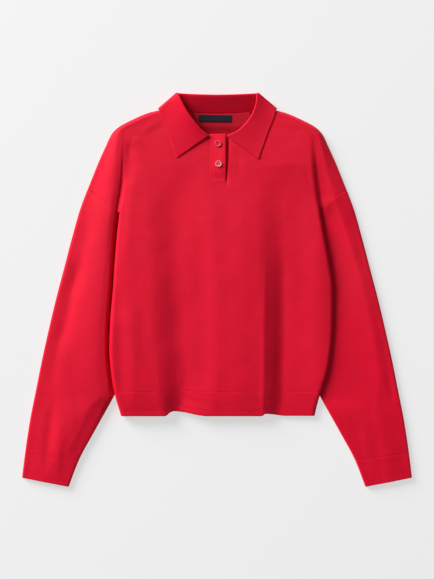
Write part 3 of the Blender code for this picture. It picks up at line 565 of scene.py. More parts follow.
# Finishes
SHEEN, SHEEN_TINT = 0.03, (1.0, 0.35, 0.42, 1.0)
LEG_ROUND, BEAD_ROUND = 0.6, 0.7  # powers below 1 make a stitch's ridge and bead fuller
BEAD_RISE = 0.65  # how much of a stitch's height its bead changes
STITCH_SLANT = 1.4  # in courses, over the width of a wale
YARN_FUZZ = 0.25
WANDER_NOISE, FIBRE_NOISE, FIBRE_STRETCH = 0.07, (2.6, 3.0, 0.65), (1.0, 2.2, 1.0)
DYE_BROAD_NOISE, DYE_FINE_NOISE = (18.0,), (240.0, 3.0, 0.6)  # a noise's scale, detail and roughness
DYE_BROAD_SHARE, DYE_CONTRAST = 0.6, 4.0
SWIRL_NOISE = (420.0, 4.0, 0.6)
KNIT_ROUGH, BUTTON_ROUGH, LABEL_ROUGH = (0.60, 0.10), (0.3, 0.12), (0.72, 0.14)  # roughness and its change
LABEL_WEAVE_DEPTH, THREAD_PLY_DEPTH = 0.15, 0.08
WALE_WANDER = 5.0  # how far the wales stray from straight, in mm
RED_YARN = (0.80, 0.0024, 0.030, 1.0)
# painted shade: the red between stitches is darkened for the shade in the grooves
SHADED_RED_BETWEEN = (0.73, 0.0014, 0.024, 1.0)
# painted shade: the inner side's red is darkened well below the yarn's own red, for the shade inside the
# neck
SHADED_RED_INSIDE = (0.58, 0.0016, 0.020, 1.0)
SHADED_RED_INSIDE_BETWEEN = (0.42, 0.001, 0.014, 1.0)
# Each knit's yarn and the colour between its stitches, darkened as painted shade, then its wale, course
# and depth in mm, and whether it is turned. The turned inner knit's colours are darkened further as painted
# shade.
KNITS = {
    "body_knit": (RED_YARN, SHADED_RED_BETWEEN, 1.15, 0.9, 0.35),
    "inner_side_knit_painted_shade": (SHADED_RED_INSIDE, SHADED_RED_INSIDE_BETWEEN, 0.9, 1.15, 0.4, True),
    "collar_knit": (RED_YARN, SHADED_RED_BETWEEN, 1.0, 0.8, 0.3),
    "placket_knit": (RED_YARN, SHADED_RED_BETWEEN, 0.95, 0.75, 0.25),
}
RED_THREAD, RED_THREAD_DARKER = (0.70, 0.02, 0.05, 1.0), (0.42, 0.005, 0.02, 1.0)
NAVY_THREAD, NAVY_THREAD_DARKER = (0.03, 0.035, 0.06, 1.0), (0.012, 0.014, 0.03, 1.0)
# Each button's deep and pale swirl colours. The two are one polyester: the upper one's are darkened as
# painted shade and the lower one's paled as a painted highlight.
BUTTON_COLOURS_PAINTED_LIGHT = {
    "button_upper": ((0.80, 0.03, 0.06, 1.0), (0.92, 0.09, 0.14, 1.0)),
    "button_lower": ((0.88, 0.12, 0.17, 1.0), (1.0, 0.34, 0.40, 1.0)),
}
LABEL_DARK = (0.005, 0.007, 0.012, 1.0)
LABEL_LIGHT = (0.014, 0.017, 0.028, 1.0)
LABEL_THREAD = 0.5
THREAD_PLIES = 9.0  # turns of the plies in each millimetre, in radians

# Floor, camera and light, in metres and degrees
FLOOR_COLOUR = (0.30, 0.30, 0.30, 1.0)
FLOOR_GLOW = 1.98
FLOOR_REACH = 6.0
FRAME_HEIGHT = 1.0422
CAMERA_HEIGHT = 2.608
CAMERA_ABOVE_CLOTH = 2.6
CAMERA_Y = 0.0009
SENSOR = 36.0
KEY_AZIMUTH = 139.0
KEY_ELEVATION = 24.0
KEY_DISTANCE = 8.0
KEY_SPREAD = 32.0
KEY_STRENGTH = 5.2
SURROUND = 0.21

# Soft creases: a line from one point to another, its half width, and its height, which is less than 0 in
# a trough.
FRONT_CREASES = table(
    "x0 y0 x1 y1 width height",
    (-163, 262, -168, 196, 17, -2.4),
    (-169, 196, -182, 70, 15, -2.2),
    (-184, 70, -184, -40, 18, -1.8),
    (-176, -20, -172, -190, 12, -1.6),
    (-150, -40, -148, -196, 10, 0.8),
    (-154, 205, -163, 60, 10, 0.6),
    (182, 110, 190, -205, 30, 3.8),
    (44, 150, 48, -190, 20, 0.9),
    (116, 40, 116, -215, 13, -1.3),
    (-52, 110, -44, -250, 22, 3.1),
    (86, 20, 82.5, -222, 4.5, 0.7),
    (-70, -193, -20, -203, 2.4, -0.32),
    (-66, -199, -6, -211, 2.4, -0.30),
    (-52, -185, -22, -190, 3, -0.25),
    (84, -196, 112, -206, 2.6, -0.30),
    (158, 214, 168, 190, 3.2, -0.45),
    (-96, 292, -140, 276, 7, -0.5),
    (-112, 300, -150, 262, 6, 0.45),
    (110, 296, 146, 280, 7, -0.4),
    (38, 250, 40, 205, 5, -0.3),
    (17.6, 202, 18.2, 190, 2.2, -1.2),
)
LEFT_SLEEVE_CREASES = table(
    "x0 y0 x1 y1 width height",
    (-228, 120, -258, 0, 13, -1.6),
    (-250, 40, -280, -90, 12, -2.3),
    (-283, -80, -296, -160, 10, -1),
    (-297, -215, -308, -318, 9, -1.5),
    (-281, -240, -287, -330, 8, 0.8),
    (-262, -150, -247, -250, 9, -0.6),
    (-231, -215, -268, -292, 6, 0.5),
)
RIGHT_SLEEVE_CREASES = table(
    "x0 y0 x1 y1 width height",
    (250, 130, 268, 40, 9, -0.5),
    (262, 20, 296, -150, 12, 0.5),
    (306, -150, 316, -196, 5, -0.5),
    (276, -210, 300, -330, 9, -0.7),
    (262, -250, 281, -330, 7, 0.5),
    (292, -60, 318, -180, 8, -0.4),
)
SLEEVE_CREASES = {-1: LEFT_SLEEVE_CREASES, 1: RIGHT_SLEEVE_CREASES}

# The slow unevenness that laid cloth keeps: waves by their length, direction in degrees, phase and
# height.
LAID_WAVES = table(
    "length direction phase height",
    (61, 8, 0.3, 0.10),
    (47, 141, 1.9, 0.07),
    (38, 63, 4.1, 0.05),
    (29, 24, 2.6, 0.03),
    (23, 102, 5.2, 0.022),
)


def creases(x, y, named):
    """Height of the soft creases: for each line, its height times a bell curve of the distance from the
    line, faded out softly past the line's two ends."""
    total = np.zeros(np.broadcast(x, y).shape)
    for x0, y0, x1, y1, width, height in zip(*named.values()):
        run_x, run_y = x1 - x0, y1 - y0
        length = np.hypot(run_x, run_y)
        along = ((x - x0) * run_x + (y - y0) * run_y) / length**2
        off = ((x - x0) * run_y - (y - y0) * run_x) / length
        before, after = along + CREASE_END, 1 + CREASE_END - along
        ends = ease(before / CREASE_END_OVER) * ease(after / CREASE_END_OVER)
        total = total + height * np.exp(-((off / width) ** 2)) * ends
    return total


def laid_waves(x, y):
    """The sum of a few long sine waves, each along its own direction."""
    total = np.zeros(np.broadcast(x, y).shape)
    for length, direction, phase, height in zip(*LAID_WAVES.values()):
        turn = np.radians(direction)
        total = total + height * np.sin(2 * np.pi * (x * np.cos(turn) + y * np.sin(turn)) / length + phase)
    return total


def front_top(x, y):
    """Height of the front's upper layer as it is seen: the solid's form with its creases and
    unevenness."""
    return front_height(x, y) + creases(x, y, FRONT_CREASES) + laid_waves(x, y)


def sleeve_top(side, x, y):
    """Height of the cloth outside the body's edge at distance x, with the sleeve's creases, which die
    out at the outer fold and where the cloth runs under the body."""
    off_body = x - inner_limit_x(side, y) - CREASES_OFF_BODY
    clear = ease((outline_x(y) - x) / CREASES_OFF_FOLD) * ease(off_body / CREASES_OFF_BODY_OVER)
    extra = creases(side * x, y, SLEEVE_CREASES[side]) + laid_waves(side * x, y)
    return sleeve_height(side, x, y) + extra * clear


def line_across(y, place, depth, width):
    """A fine line knitted across: a bell curve of the distance from its place."""
    return -depth * np.exp(-(((y - place) / width) ** 2))


def bezier_rows(a, b, c, d, count):
    """One cubic curve for each row: the four control points weighted by the Bernstein polynomials."""
    t = np.linspace(0, 1, count)[None, :, None]
    a, b, c, d = (p[:, None, :] for p in (a, b, c, d))
    return (1 - t) ** 3 * a + 3 * t * (1 - t) ** 2 * b + 3 * t * t * (1 - t) * c + t**3 * d


def running_total(steps):
    """The sum of the steps so far along each row, which starts at 0."""
    return np.concatenate([np.zeros((len(steps), 1)), np.cumsum(steps, axis=1)], axis=1)


def resample_rows(paths, count, gather):
    """Each row's path read at evenly spread places along its length, where a bend counts as extra
    length. All rows are joined into one rising measure, a whole number apart, so that one interpolation
    reads them all."""
    step = np.diff(paths, axis=1)
    length = np.hypot(step[..., 0], step[..., 1])
    heading = np.unwrap(np.arctan2(step[..., 1], step[..., 0]), axis=1)
    bend = np.abs(np.diff(heading, prepend=heading[:, :1], axis=1)) * (length > 1e-4)
    measure = running_total(length + BEND_WEIGHT * bend)
    rank = np.arange(len(paths))[:, None]
    measure = ROW_SPAN * measure / measure[:, -1:] + rank
    wanted = ROW_SPAN * (1 - (1 - np.linspace(0, 1, count)) ** gather)[None, :] + rank
    parts = [np.interp(wanted.ravel(), measure.ravel(), paths[..., k].ravel()) for k in range(2)]
    return np.stack(parts, axis=1).reshape(len(paths), count, 2)


def side_paths(side, y, count):
    """For each row, the front's section from the start of its upper layer to its own edge, as (distance,
    height).

    A Bezier curve rolls over the body's side edge. Below the crossing it is followed by a straight run
    in under the body, and above it by a run out over the upper arm, which ends in a quarter of an
    ellipse on the shoulder.
    """
    edge, seam = edge_x(side, y), seam_x(side, y) + lap_over_sleeve(side, y)
    turned_in, above = edge - seam, y - CROSSING_Y[side]
    start_x = edge - EDGE_RADIUS
    start_z = front_top(side * start_x, y)
    low_x = edge - np.clip(turned_in, -VALLEY_REACH, EDGE_RADIUS)
    lift = lift_over_sleeve(side, y)
    in_valley = sleeve_top(side, np.minimum(low_x, outline_x(y)), y) + lift
    low_z = in_valley + (body_level(y) - in_valley) * ease(-above / TUCK_OVER)
    curl, flare = np.clip(turned_in / EDGE_RADIUS, 0, 1), np.clip(-turned_in / VALLEY_REACH, 0, 1)
    reach = EDGE_RADIUS * (4 / 3 - VALLEY_SHORTENS * flare)
    drop = (start_z - low_z) * EDGE_DROP * (1 - np.maximum(curl, flare))
    start, low = np.stack([start_x, start_z], axis=1), np.stack([low_x, low_z], axis=1)
    over = np.stack([reach, np.zeros_like(reach)], axis=1)
    turn = low + np.stack([reach * (curl - flare), drop], axis=1)
    roll = bezier_rows(start, start + over, turn, low, ROLL_STEPS)

    out_x = np.maximum(seam - ROUND_FROM * fold_radius(y), low_x + LEAST_RUN)
    t = np.linspace(0, 1, RUN_STEPS)[None, 1:]
    angle = np.linspace(0, np.pi / 2, OUT_ROUND_STEPS)[None, 1:]
    flat = low_x[:, None] + (out_x - low_x)[:, None] * t
    rounded = seam[:, None] - (seam - out_x)[:, None] * (1 - np.sin(angle))
    out = np.concatenate([flat, rounded], axis=1)
    out_z = sleeve_top(side, out, y[:, None]) + lift[:, None]
    on_shoulder = (y > ARMHOLE_TOP_Y - 1)[:, None]
    at_seam = shoulder_level(y)[:, None] + SHOULDER_SEAM
    out_z = np.where(on_shoulder, np.maximum(out_z, at_seam), out_z)

    spread = np.linspace(0, 1, out.shape[1])[None]
    in_x = low_x[:, None] + (seam - low_x)[:, None] * spread
    turned_under, runs_out = turned_in > EDGE_RADIUS, turned_in < -VALLEY_REACH
    run_x = np.where(turned_under[:, None], in_x, np.where(runs_out[:, None], out, low_x[:, None]))
    run_z = np.where(runs_out[:, None], out_z, low_z[:, None])
    path = np.concatenate([roll, np.stack([run_x, run_z], axis=2)], axis=1)
    path = resample_rows(path, count, gather=SIDE_GATHER)
    path[:, -1, 1] = np.where(on_shoulder[:, 0], shoulder_level(y) + SHOULDER_SEAM / 2, path[:, -1, 1])
    from_seam = running_total(np.linalg.norm(np.diff(path[:, ::-1], axis=1), axis=2))[:, ::-1]
    seen = ease((above - SEAM_SEEN_FROM) / SEAM_SEEN_OVER) * ease((SEAM_END_Y - y) / SEAM_ENDS_OVER)
    path[..., 1] -= SEAM_DIP * seen[:, None] * np.exp(-((SEAM_ON_FRONT * from_seam / SEAM_DIP_WIDTH) ** 2))
    return path


def spread_between(knots, counts):
    """Columns spread evenly between each two knots: for every row, a knot plus a share of the way to the
    next."""
    runs = []
    for k, count in enumerate(counts):
        share = np.linspace(0, 1, count, endpoint=False)[None]
        runs.append(knots[:, k : k + 1] + (knots[:, k + 1 : k + 2] - knots[:, k : k + 1]) * share)
    return np.concatenate([*runs, knots[:, -1:]], axis=1)


def stretches(runs):
    """Places spread evenly over each run, which is its start, its end and how many it has. The last run's
    end closes them."""
    pieces = [np.linspace(low, high, count, endpoint=False) for low, high, count in runs]
    return np.concatenate([*pieces, [runs[-1][1]]])


def along_body():
    """The rows of the front, from the hem up: closer together at the hem, at the band's line and at the
    seams."""
    return stretches(BODY_ROWS)


def front_grid():
    """The front's middle surface. Each row runs from the left own edge over the body to the right own
    edge, and each column follows the folds: the height is front_top of its place, and the folds draw the
    hem up."""
    y = along_body()
    left, right = side_paths(-1, y, SIDE_COLUMNS), side_paths(1, y, SIDE_COLUMNS)
    start, end = -edge_x(-1, y) + EDGE_RADIUS, edge_x(1, y) - EDGE_RADIUS
    slot_left, slot_right = np.full_like(y, SLOT_LEFT), np.full_like(y, SLOT_RIGHT)
    folds = [read(FOLDS, column, y) for column in ("left_start", "left_end", "right_start", "right_end")]
    even = [start + (slot_left - start) * share for share in EVEN_LEFT]
    even += [slot_right + (end - slot_right) * share for share in EVEN_RIGHT]
    past_folds = ease((y - FOLDS_TOP_Y) / FOLDS_TOP_OVER)
    folds = [fold + (place - fold) * past_folds for fold, place in zip(folds, even)]
    knots = np.stack([start, *folds[:2], slot_left, slot_right, *folds[2:], end], axis=1)
    middle = spread_between(knots, UPPER_COUNTS)[:, 1:-1]
    rows = np.broadcast_to(y[:, None], middle.shape)
    x = np.concatenate([-left[:, ::-1, 0], middle, right[..., 0]], axis=1)
    z = np.concatenate([left[:, ::-1, 1], front_top(middle, rows), right[..., 1]], axis=1)
    rows = np.broadcast_to(y[:, None], x.shape)
    lines = line_across(rows, BAND_TOP_Y, BAND_LINE_DEPTH, BAND_LINE_WIDTH)
    lines = lines + line_across(rows, HEM_Y + HEM_LINE_ABOVE, HEM_LINE_DEPTH, HEM_LINE_WIDTH)
    z = z + lines * ease((z - BODY_OVER_SLEEVE) / UPPER_LAYER_FADE)
    return np.stack([x, rows + hem_draw(x, rows), z], axis=2)


def neckline(front):
    """The two halves of the neck opening's edge, from the collar's seam, moved out by the seam's gap."""
    turn, xs, ys = COLLAR["turn"], COLLAR["seam_x"], COLLAR["seam_y"]
    keep = turn <= 90 if front else turn >= 90
    rank = np.arange(len(turn))
    left, right = rank[keep & (xs <= 0)], rank[keep & (xs >= 0)]
    if front:
        left = left[::-1]
    halves = []
    for places in (left, right):
        along = np.linspace(places[0], places[-1], NECK_SAMPLES)
        halves.append(np.stack([smooth(along, rank, xs), smooth(along, rank, ys)], axis=1))
    return halves


def away_from_neck(points):
    """Points of the neckline moved out from the neck's middle by the seam's gap."""
    offset = points - np.array(NECK_MIDDLE)
    return points + NECK_SEAM * offset / np.linalg.norm(offset, axis=1, keepdims=True)


def front_opening():
    """The neck hole and the placket's slot as one outline. The slot's right side leans in to a point at
    its foot."""
    left, right = (away_from_neck(half) for half in neckline(front=True))
    slot = [
        (SLOT_LEFT, left[-1][1] - SLOT_UNDER_COLLAR),
        (SLOT_LEFT, SLOT_BOTTOM),
        (UPPER_BAND_RIGHT, SLOT_BOTTOM),
        (SLIT_FOOT[0] - SLIT_FOOT_HALF, SLIT_FOOT[1]),
        (SLIT_FOOT[0] + SLIT_FOOT_HALF, SLIT_FOOT[1]),
        *SLIT_SIDE,
        (SLOT_RIGHT, right[-1][1] - SLOT_UNDER_COLLAR),
    ]
    return np.array([(left[0][0], ABOVE_ALL_Y), *left, *slot, *right[::-1], (right[0][0], ABOVE_ALL_Y)])


def back_opening():
    """The back of the neck hole as an outline."""
    left, right = (half - np.array([0.0, BACK_NECK_SEAM]) for half in neckline(front=False))
    return np.array([(left[0][0], ABOVE_ALL_Y), *left, *right[1:], (right[-1][0], ABOVE_ALL_Y)])


def inside(x, y, outline):
    """Whether points lie inside an outline: an odd number of its sides crosses the ray that leaves the
    point to the right."""
    crossings = np.zeros(x.shape, int)
    for (ax, ay), (bx, by) in zip(outline, np.roll(outline, -1, axis=0)):
        spans = (ay > y) != (by > y)
        at = ax + (y - ay) * (bx - ax) / (by - ay if by != ay else 1.0)
        crossings += spans & (x < at)
    return crossings % 2 == 1


def nearest_on(points, outline):
    """The nearest place on an outline for each point: the point dropped onto each side, and the closest
    one kept."""
    a, b = outline, np.roll(outline, -1, axis=0)
    side = b - a
    length = np.maximum((side**2).sum(axis=1), 1e-9)
    share = np.clip(((points[:, None] - a) * side).sum(axis=2) / length, 0, 1)
    on = a + share[..., None] * side
    best = np.argmin(((on - points[:, None]) ** 2).sum(axis=2), axis=1)
    return on[np.arange(len(points)), best]


def quads_of(rows, columns, ring=False):
    """The corner numbers of a grid's faces. With ring set, the last column joins the first."""
    spans = columns if ring else columns - 1
    r, c = np.meshgrid(np.arange(rows - 1), np.arange(spans), indexing="ij")
    after = (c + 1) % columns
    corners = [r * columns + c, r * columns + after, (r + 1) * columns + after, (r + 1) * columns + c]
    return np.stack(corners, axis=2).reshape(-1, 4)


def cut_opening(grid, outline, height):
    """Which faces of a grid to keep outside an outline. Corners on the cut's border move onto the
    outline, at the height that the cloth has there."""
    rows, columns, _ = grid.shape
    quads = quads_of(rows, columns)
    flat = grid.reshape(-1, 3).copy()
    centre = flat[quads].mean(axis=1)
    keep = ~inside(centre[:, 0], centre[:, 1], outline)
    on_border = np.intersect1d(quads[keep], quads[~keep])
    moved = nearest_on(flat[on_border, :2], outline)
    near = np.hypot(*(moved - flat[on_border, :2]).T) < CUT_REACH
    on_border, moved = on_border[near], moved[near]
    flat[on_border, :2] = moved
    flat[on_border, 2] = height(moved[:, 0], moved[:, 1])
    return flat.reshape(grid.shape), keep


def cloth_corners(grid, ring=False, centre=0):
    """Each face's four corners as places on the laid-out cloth in millimetres: how far across from the
    centre column, and how far along."""
    closed = np.concatenate([grid, grid[:, :1]], axis=1) if ring else grid
    across = running_total(np.linalg.norm(np.diff(closed, axis=1), axis=2))
    across = across - across[:, centre : centre + 1]
    along = running_total(np.linalg.norm(np.diff(closed[:, centre], axis=0), axis=1)[None])
    places = np.stack([across, np.broadcast_to(along.T, across.shape)], axis=2)
    return places.reshape(-1, 2)[quads_of(*across.shape)]


def thicken(points, quads, corners, thickness):
    """A closed wall about a surface: the surface moved out and in by half the thickness along its
    normals, joined at every open border by half a round, whose points are cos of the turn along the
    normal plus sin of it outwards."""
    half, count = thickness / 2, len(points)
    a, b, c, d = (points[quads[:, k]] for k in range(4))
    face_normal = np.cross(c - a, d - b)
    normal = np.zeros_like(points)
    for k in range(4):
        np.add.at(normal, quads[:, k], face_normal)
    normal /= np.maximum(np.linalg.norm(normal, axis=1, keepdims=True), 1e-12)

    start, end = quads.ravel(), np.roll(quads, -1, axis=1).ravel()
    place_start, place_end = corners.reshape(-1, 2), np.roll(corners, -1, axis=1).reshape(-1, 2)
    open_side = ~np.isin(start * count + end, end * count + start)
    start, end = start[open_side], end[open_side]
    place_start, place_end = place_start[open_side], place_end[open_side]
    outward = np.zeros_like(points)
    away = np.cross(points[end] - points[start], normal[start] + normal[end])
    np.add.at(outward, start, away)
    np.add.at(outward, end, away)
    border = np.unique(start)
    outward = outward[border]
    outward /= np.maximum(np.linalg.norm(outward, axis=1, keepdims=True), 1e-12)

    turns = np.pi * np.arange(1, RIM_STEPS + 1) / (RIM_STEPS + 1)
    at, up = points[border], normal[border]
    rims = [at + half * (np.cos(t) * up + RIM_BULGE * np.sin(t) * outward) for t in turns]
    everything = np.concatenate([points + half * normal, points - half * normal, *rims])
    faces = [quads, quads[:, ::-1] + count]
    places = [corners, corners[:, ::-1]]
    rank = np.searchsorted(border, np.stack([start, end]))
    layers = [np.stack([start, end])]
    layers += [2 * count + k * len(border) + rank for k in range(RIM_STEPS)]
    layers += [np.stack([start, end]) + count]
    for upper, lower in zip(layers, layers[1:]):
        faces.append(np.stack([upper[1], upper[0], lower[0], lower[1]], axis=1))
        places.append(np.stack([place_end, place_start, place_start, place_end], axis=1))
    return everything, np.concatenate(faces), np.concatenate(places)


def new_object(name, data):
    """An object at the origin, in the scene."""
    made = bpy.data.objects.new(name, data)
    bpy.context.scene.collection.objects.link(made)
    return made


def mesh_piece(name, points, faces, places, *materials, second=None):
    """A smooth mesh object at the origin, from arrays of points and faces in millimetres. Second marks
    the faces that have the second material."""
    used, faces = np.unique(faces, return_inverse=True)
    faces = faces.reshape(-1, 4)
    mesh = bpy.data.meshes.new(name)
    mesh.vertices.add(len(used))
    mesh.vertices.foreach_set("co", (points[used] * MM).astype(np.float32).ravel())
    mesh.loops.add(faces.size)
    mesh.loops.foreach_set("vertex_index", faces.ravel().astype(np.int32))
    mesh.polygons.add(len(faces))
    mesh.polygons.foreach_set("loop_start", np.arange(0, faces.size, 4, dtype=np.int32))
    for material in materials:
        mesh.materials.append(material)
    if second is not None:
        mesh.polygons.foreach_set("material_index", second.astype(np.int32))
    mesh.update(calc_edges=True)
    layer = mesh.uv_layers.new(name="cloth")
    layer.data.foreach_set("uv", places.reshape(-1, 2).astype(np.float32).ravel())
    mesh.validate()
    mesh.shade_smooth()
    piece = new_object(name, mesh)
    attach(piece, "root")
    return piece


def cloth_piece(name, grid, thickness, material, keep=None, ring=False, centre=0, inner=None):
    """A grid of points made into a thickened piece of cloth. Inner is the finish of its upper side where
    that is the garment's inside; its colour is darkened there as painted shade."""
    rows, columns, _ = grid.shape
    quads = quads_of(rows, columns, ring)
    corners = cloth_corners(grid, ring, centre)
    if keep is not None:
        quads, corners = quads[keep], corners[keep]
    points, faces, places = thicken(grid.reshape(-1, 3), quads, corners, thickness)
    if inner is None:
        return mesh_piece(name, points, faces, places, material)
    upper_side = np.arange(len(faces)) < len(quads)
    return mesh_piece(name, points, faces, places, material, inner, second=upper_side)


# The back, the sleeves and the collar


def back_grid():
    """The back's middle surface: flat on the surface in the middle, and raised on the sleeves and the
    collar's fall, by back_height at each place. Its columns follow the climbs and end at the side seam,
    armhole or shoulder."""
    y = along_body()
    y = np.concatenate([y[y < BACK_FINE_Y][::2], y[y >= BACK_FINE_Y]])
    halves = []
    for side in (-1, 1):
        end = seam_x(side, y) - np.where(y < UNDERARM_Y, SEAM_GAP, 0.0)
        start = np.minimum(climb_start(np.maximum(y, BACK_CLIMB_Y)), end - BACK_CLIMB_IN[0])
        top = np.minimum(start + CLIMB_WIDTH, end - BACK_CLIMB_IN[1])
        on_shoulder = y > ARMHOLE_TOP_Y - 1
        start = np.where(on_shoulder, end * BACK_SHOULDER[0], start)
        top = np.where(on_shoulder, end - fold_radius(y) * BACK_SHOULDER[1], top)
        knots = np.stack([np.zeros_like(y), start, top, end], axis=1)
        halves.append(side * spread_between(knots, BACK_COUNTS))
    x = np.concatenate([halves[0][:, ::-1], halves[1][:, 1:]], axis=1)
    rows = np.broadcast_to(y[:, None], x.shape)
    z = back_height(x, rows)
    level = shoulder_level(y)[:, None]
    on_shoulder = rows > ARMHOLE_TOP_Y - 1
    z = np.where(on_shoulder, np.minimum(z, level - SHOULDER_SEAM), z)
    ends = np.zeros(x.shape[1], bool)
    ends[[0, -1]] = True
    z = np.where(on_shoulder & ends, level - SHOULDER_SEAM / 2, z)
    return np.stack([x, rows + BACK_DRAW * hem_draw(x, rows), z], axis=2)


def along_sleeve():
    """Places along the sleeve's table, from the cuff's edge to the armhole, closer at the cuff's line
    and the seam."""
    return stretches(SLEEVE_ROWS)


def sleeve_grid(side):
    """The sleeve's middle surface: rings of the lower cloth, the inner fold, the upper cloth and the
    outer fold. Each upper point has the height sleeve_top, the lower cloth lies flat, and the folds are
    halves of ellipses."""
    station = along_sleeve()
    rank = np.arange(len(SLEEVE["cap"]))
    at = {name: smooth(station, rank, values) for name, values in SLEEVE.items()}
    outer = np.stack([at["outer_x"], at["outer_y"]], axis=1)
    inner = np.stack([at["inner_x"], at["inner_y"]], axis=1)
    cap = at["cap"][:, None]
    underarm = seam_x(side, np.array(UNDERARM_Y))
    inner[:, 0] += (underarm - ARMHOLE["x"][0]) * cap[:, 0]
    armhole_end = np.array([ARMHOLE["x"][-1], ARMHOLE["y"][-1]])
    armhole_start = np.array([underarm, UNDERARM_Y])

    def place(share):
        """On the way from the outer fold to the inner one, bowed like the armhole near the top."""
        y_on_seam = armhole_end[1] + (armhole_start[1] - armhole_end[1]) * share
        seam = np.stack([seam_x(side, y_on_seam), y_on_seam], axis=2)
        chord = armhole_end + (armhole_start - armhole_end) * share[..., None]
        point = outer[:, None] + (inner - outer)[:, None] * share[..., None]
        point = point + cap[..., None] * (seam - chord)
        return point + cap[..., None] * ARMHOLE_SEAM * np.array(ARMHOLE_OUT)

    length = np.hypot(*(inner - outer).T)
    inner_round = (read(SLEEVE_HEIGHT, "inner", inner[:, 1]) - FLOOR_LAYER) / 2
    first, last = fold_radius(outer[:, 1]) / length, 1 - inner_round / length

    def shares(count):
        """Even shares of the way between the two folds, for each ring."""
        return first[:, None] + (last - first)[:, None] * np.linspace(0, 1, count)[None]

    trial = shares(MEETS_TRIALS)
    trial_at = place(trial)
    under_body = trial_at[..., 0] < inner_limit_x(side, trial_at[..., 1]) - MEETS_INSIDE
    meets = np.take_along_axis(trial, np.argmax(under_body, axis=1)[:, None], axis=1)[:, 0]
    meets = np.where(under_body.any(axis=1), meets, last)
    way = last - first
    meets = np.clip(meets, first + way * MEETS_BETWEEN[0], first + way * MEETS_BETWEEN[1])
    beside = np.maximum(meets - BESIDE_BODY / length, (first + meets) / 2)
    upper = place(spread_between(np.stack([first, beside, meets, last], axis=1), SLEEVE_UPPER))
    upper_z = sleeve_top(side, upper[..., 0], upper[..., 1])
    upper_z = upper_z + line_across(station[:, None], CUFF_LINE_AT, BAND_LINE_DEPTH, CUFF_LINE_WIDTH)
    upper_z = upper_z + line_across(station[:, None], CUFF_HEM_AT, HEM_LINE_DEPTH, CUFF_HEM_WIDTH)
    end_y = upper[-1, :, 1]
    above = end_y - CROSSING_Y[side]
    seen = ease((above - SLEEVE_SEAM_SEEN_FROM) / SLEEVE_SEAM_SEEN_OVER)
    beyond_lap = ease((above - LAP_END) / MEETING_OVER)
    from_end = np.linalg.norm(upper - upper[-1:], axis=2)
    upper_z = upper_z - SEAM_DIP * seen * np.exp(-((from_end / SEAM_DIP_WIDTH) ** 2))
    meeting = lift_over_sleeve(side, end_y) * beyond_lap
    upper_z = upper_z + meeting * np.exp(-((from_end / MEETING_REACH) ** 2))
    lower = place(shares(SLEEVE_LOWER))
    lower_z = np.full(lower.shape[:2], FLOOR_LAYER)

    def fold(near, tip, top_z, count):
        """Half of an ellipse from the upper cloth round to the lower cloth."""
        turn = np.linspace(0, np.pi, count + 2)[None, 1:-1]
        middle, half = (top_z[:, None] + FLOOR_LAYER) / 2, (top_z[:, None] - FLOOR_LAYER) / 2
        way = near[:, None] + (tip - near)[:, None] * np.sin(turn)[..., None]
        return np.concatenate([way, (middle + half * np.cos(turn))[..., None]], axis=2)

    ends = np.broadcast_to(np.array([[0.0, 1.0]]), (len(station), 2))
    tips = place(ends)
    inner_fold = fold(upper[:, -1], tips[:, 1], upper_z[:, -1], INNER_TURN)
    outer_fold = fold(upper[:, 0], tips[:, 0], upper_z[:, 0], OUTER_TURN)[:, ::-1]
    top = np.concatenate([upper, upper_z[..., None]], axis=2)
    under = np.concatenate([lower, lower_z[..., None]], axis=2)[:, ::-1]
    ring = np.concatenate([top, inner_fold, under, outer_fold], axis=1)
    ring[..., 0] *= side
    return ring if side < 0 else ring[:, ::-1]


def collar_grid():
    """The collar's middle surface, one section for each place along it: straight up the stand, half a
    round over the roll, and straight down the fall, which lies on the front, or under the back with a
    sag of the fourth power."""
    rank = np.arange(len(COLLAR["turn"]))
    along = np.linspace(0, rank[-1], COLLAR_ALONG)
    c = {name: smooth(along, rank, values) for name, values in COLLAR.items()}
    turn = np.radians(c["turn"])[:, None]
    seam_xy = np.stack([c["seam_x"], c["seam_y"]], axis=1)
    front_z = front_top(c["seam_x"], c["seam_y"])
    seam_z = BACK_AT_NECK + (front_z - BACK_AT_NECK) * (1 + np.cos(turn[:, 0])) / 2
    seam = np.column_stack([seam_xy, seam_z])
    roll = np.stack([c["roll_x"], c["roll_y"], c["roll_z"]], axis=1)
    edge = np.stack([c["edge_x"], c["edge_y"], c["edge_z"]], axis=1)
    down = (edge - roll) * np.array([1.0, 1.0, 0.0])
    down /= np.linalg.norm(down, axis=1, keepdims=True)
    out_x = np.sign(c["seam_x"]) * abs(down[:, 1])
    outward = np.column_stack([out_x, abs(down[:, 0]), np.zeros(len(along))])
    over = np.cos(turn) * np.array([0, 0, 1.0]) + np.sin(turn) * outward
    middle = roll + ROLL_RADIUS * down
    stand_top, fall_top = middle - ROLL_RADIUS * over, middle + ROLL_RADIUS * over
    angle = np.linspace(0, np.pi, COLLAR_ROUND)[None, 1:-1, None]
    around = middle[:, None] - ROLL_RADIUS * (np.cos(angle) * over[:, None] + np.sin(angle) * down[:, None])
    share = np.linspace(0, 1, COLLAR_STAND)[None, :, None]
    stand = seam[:, None] + (stand_top - seam)[:, None] * share
    share = np.linspace(0, 1, COLLAR_FALL)[None, :, None]
    fall = fall_top[:, None] + (edge - fall_top)[:, None] * share
    rest_front = front_top(fall[..., 0], fall[..., 1]) + (CLOTH + COLLAR_CLOTH) / 2 + LEAF_GAP
    rest_back = edge[:, None, 2] + (fall_top - edge)[:, None, 2] * (1 - share[..., 0]) ** BACK_FALL_SAG
    front = turn < np.pi / 2
    rest = np.where(front, rest_front, rest_back)
    blend = np.where(front, np.cos(turn) * share[..., 0], -np.cos(turn))
    fall[..., 2] += (rest - fall[..., 2]) * blend
    return np.concatenate([stand, around, fall], axis=1)


# The placket, the buttons and the label


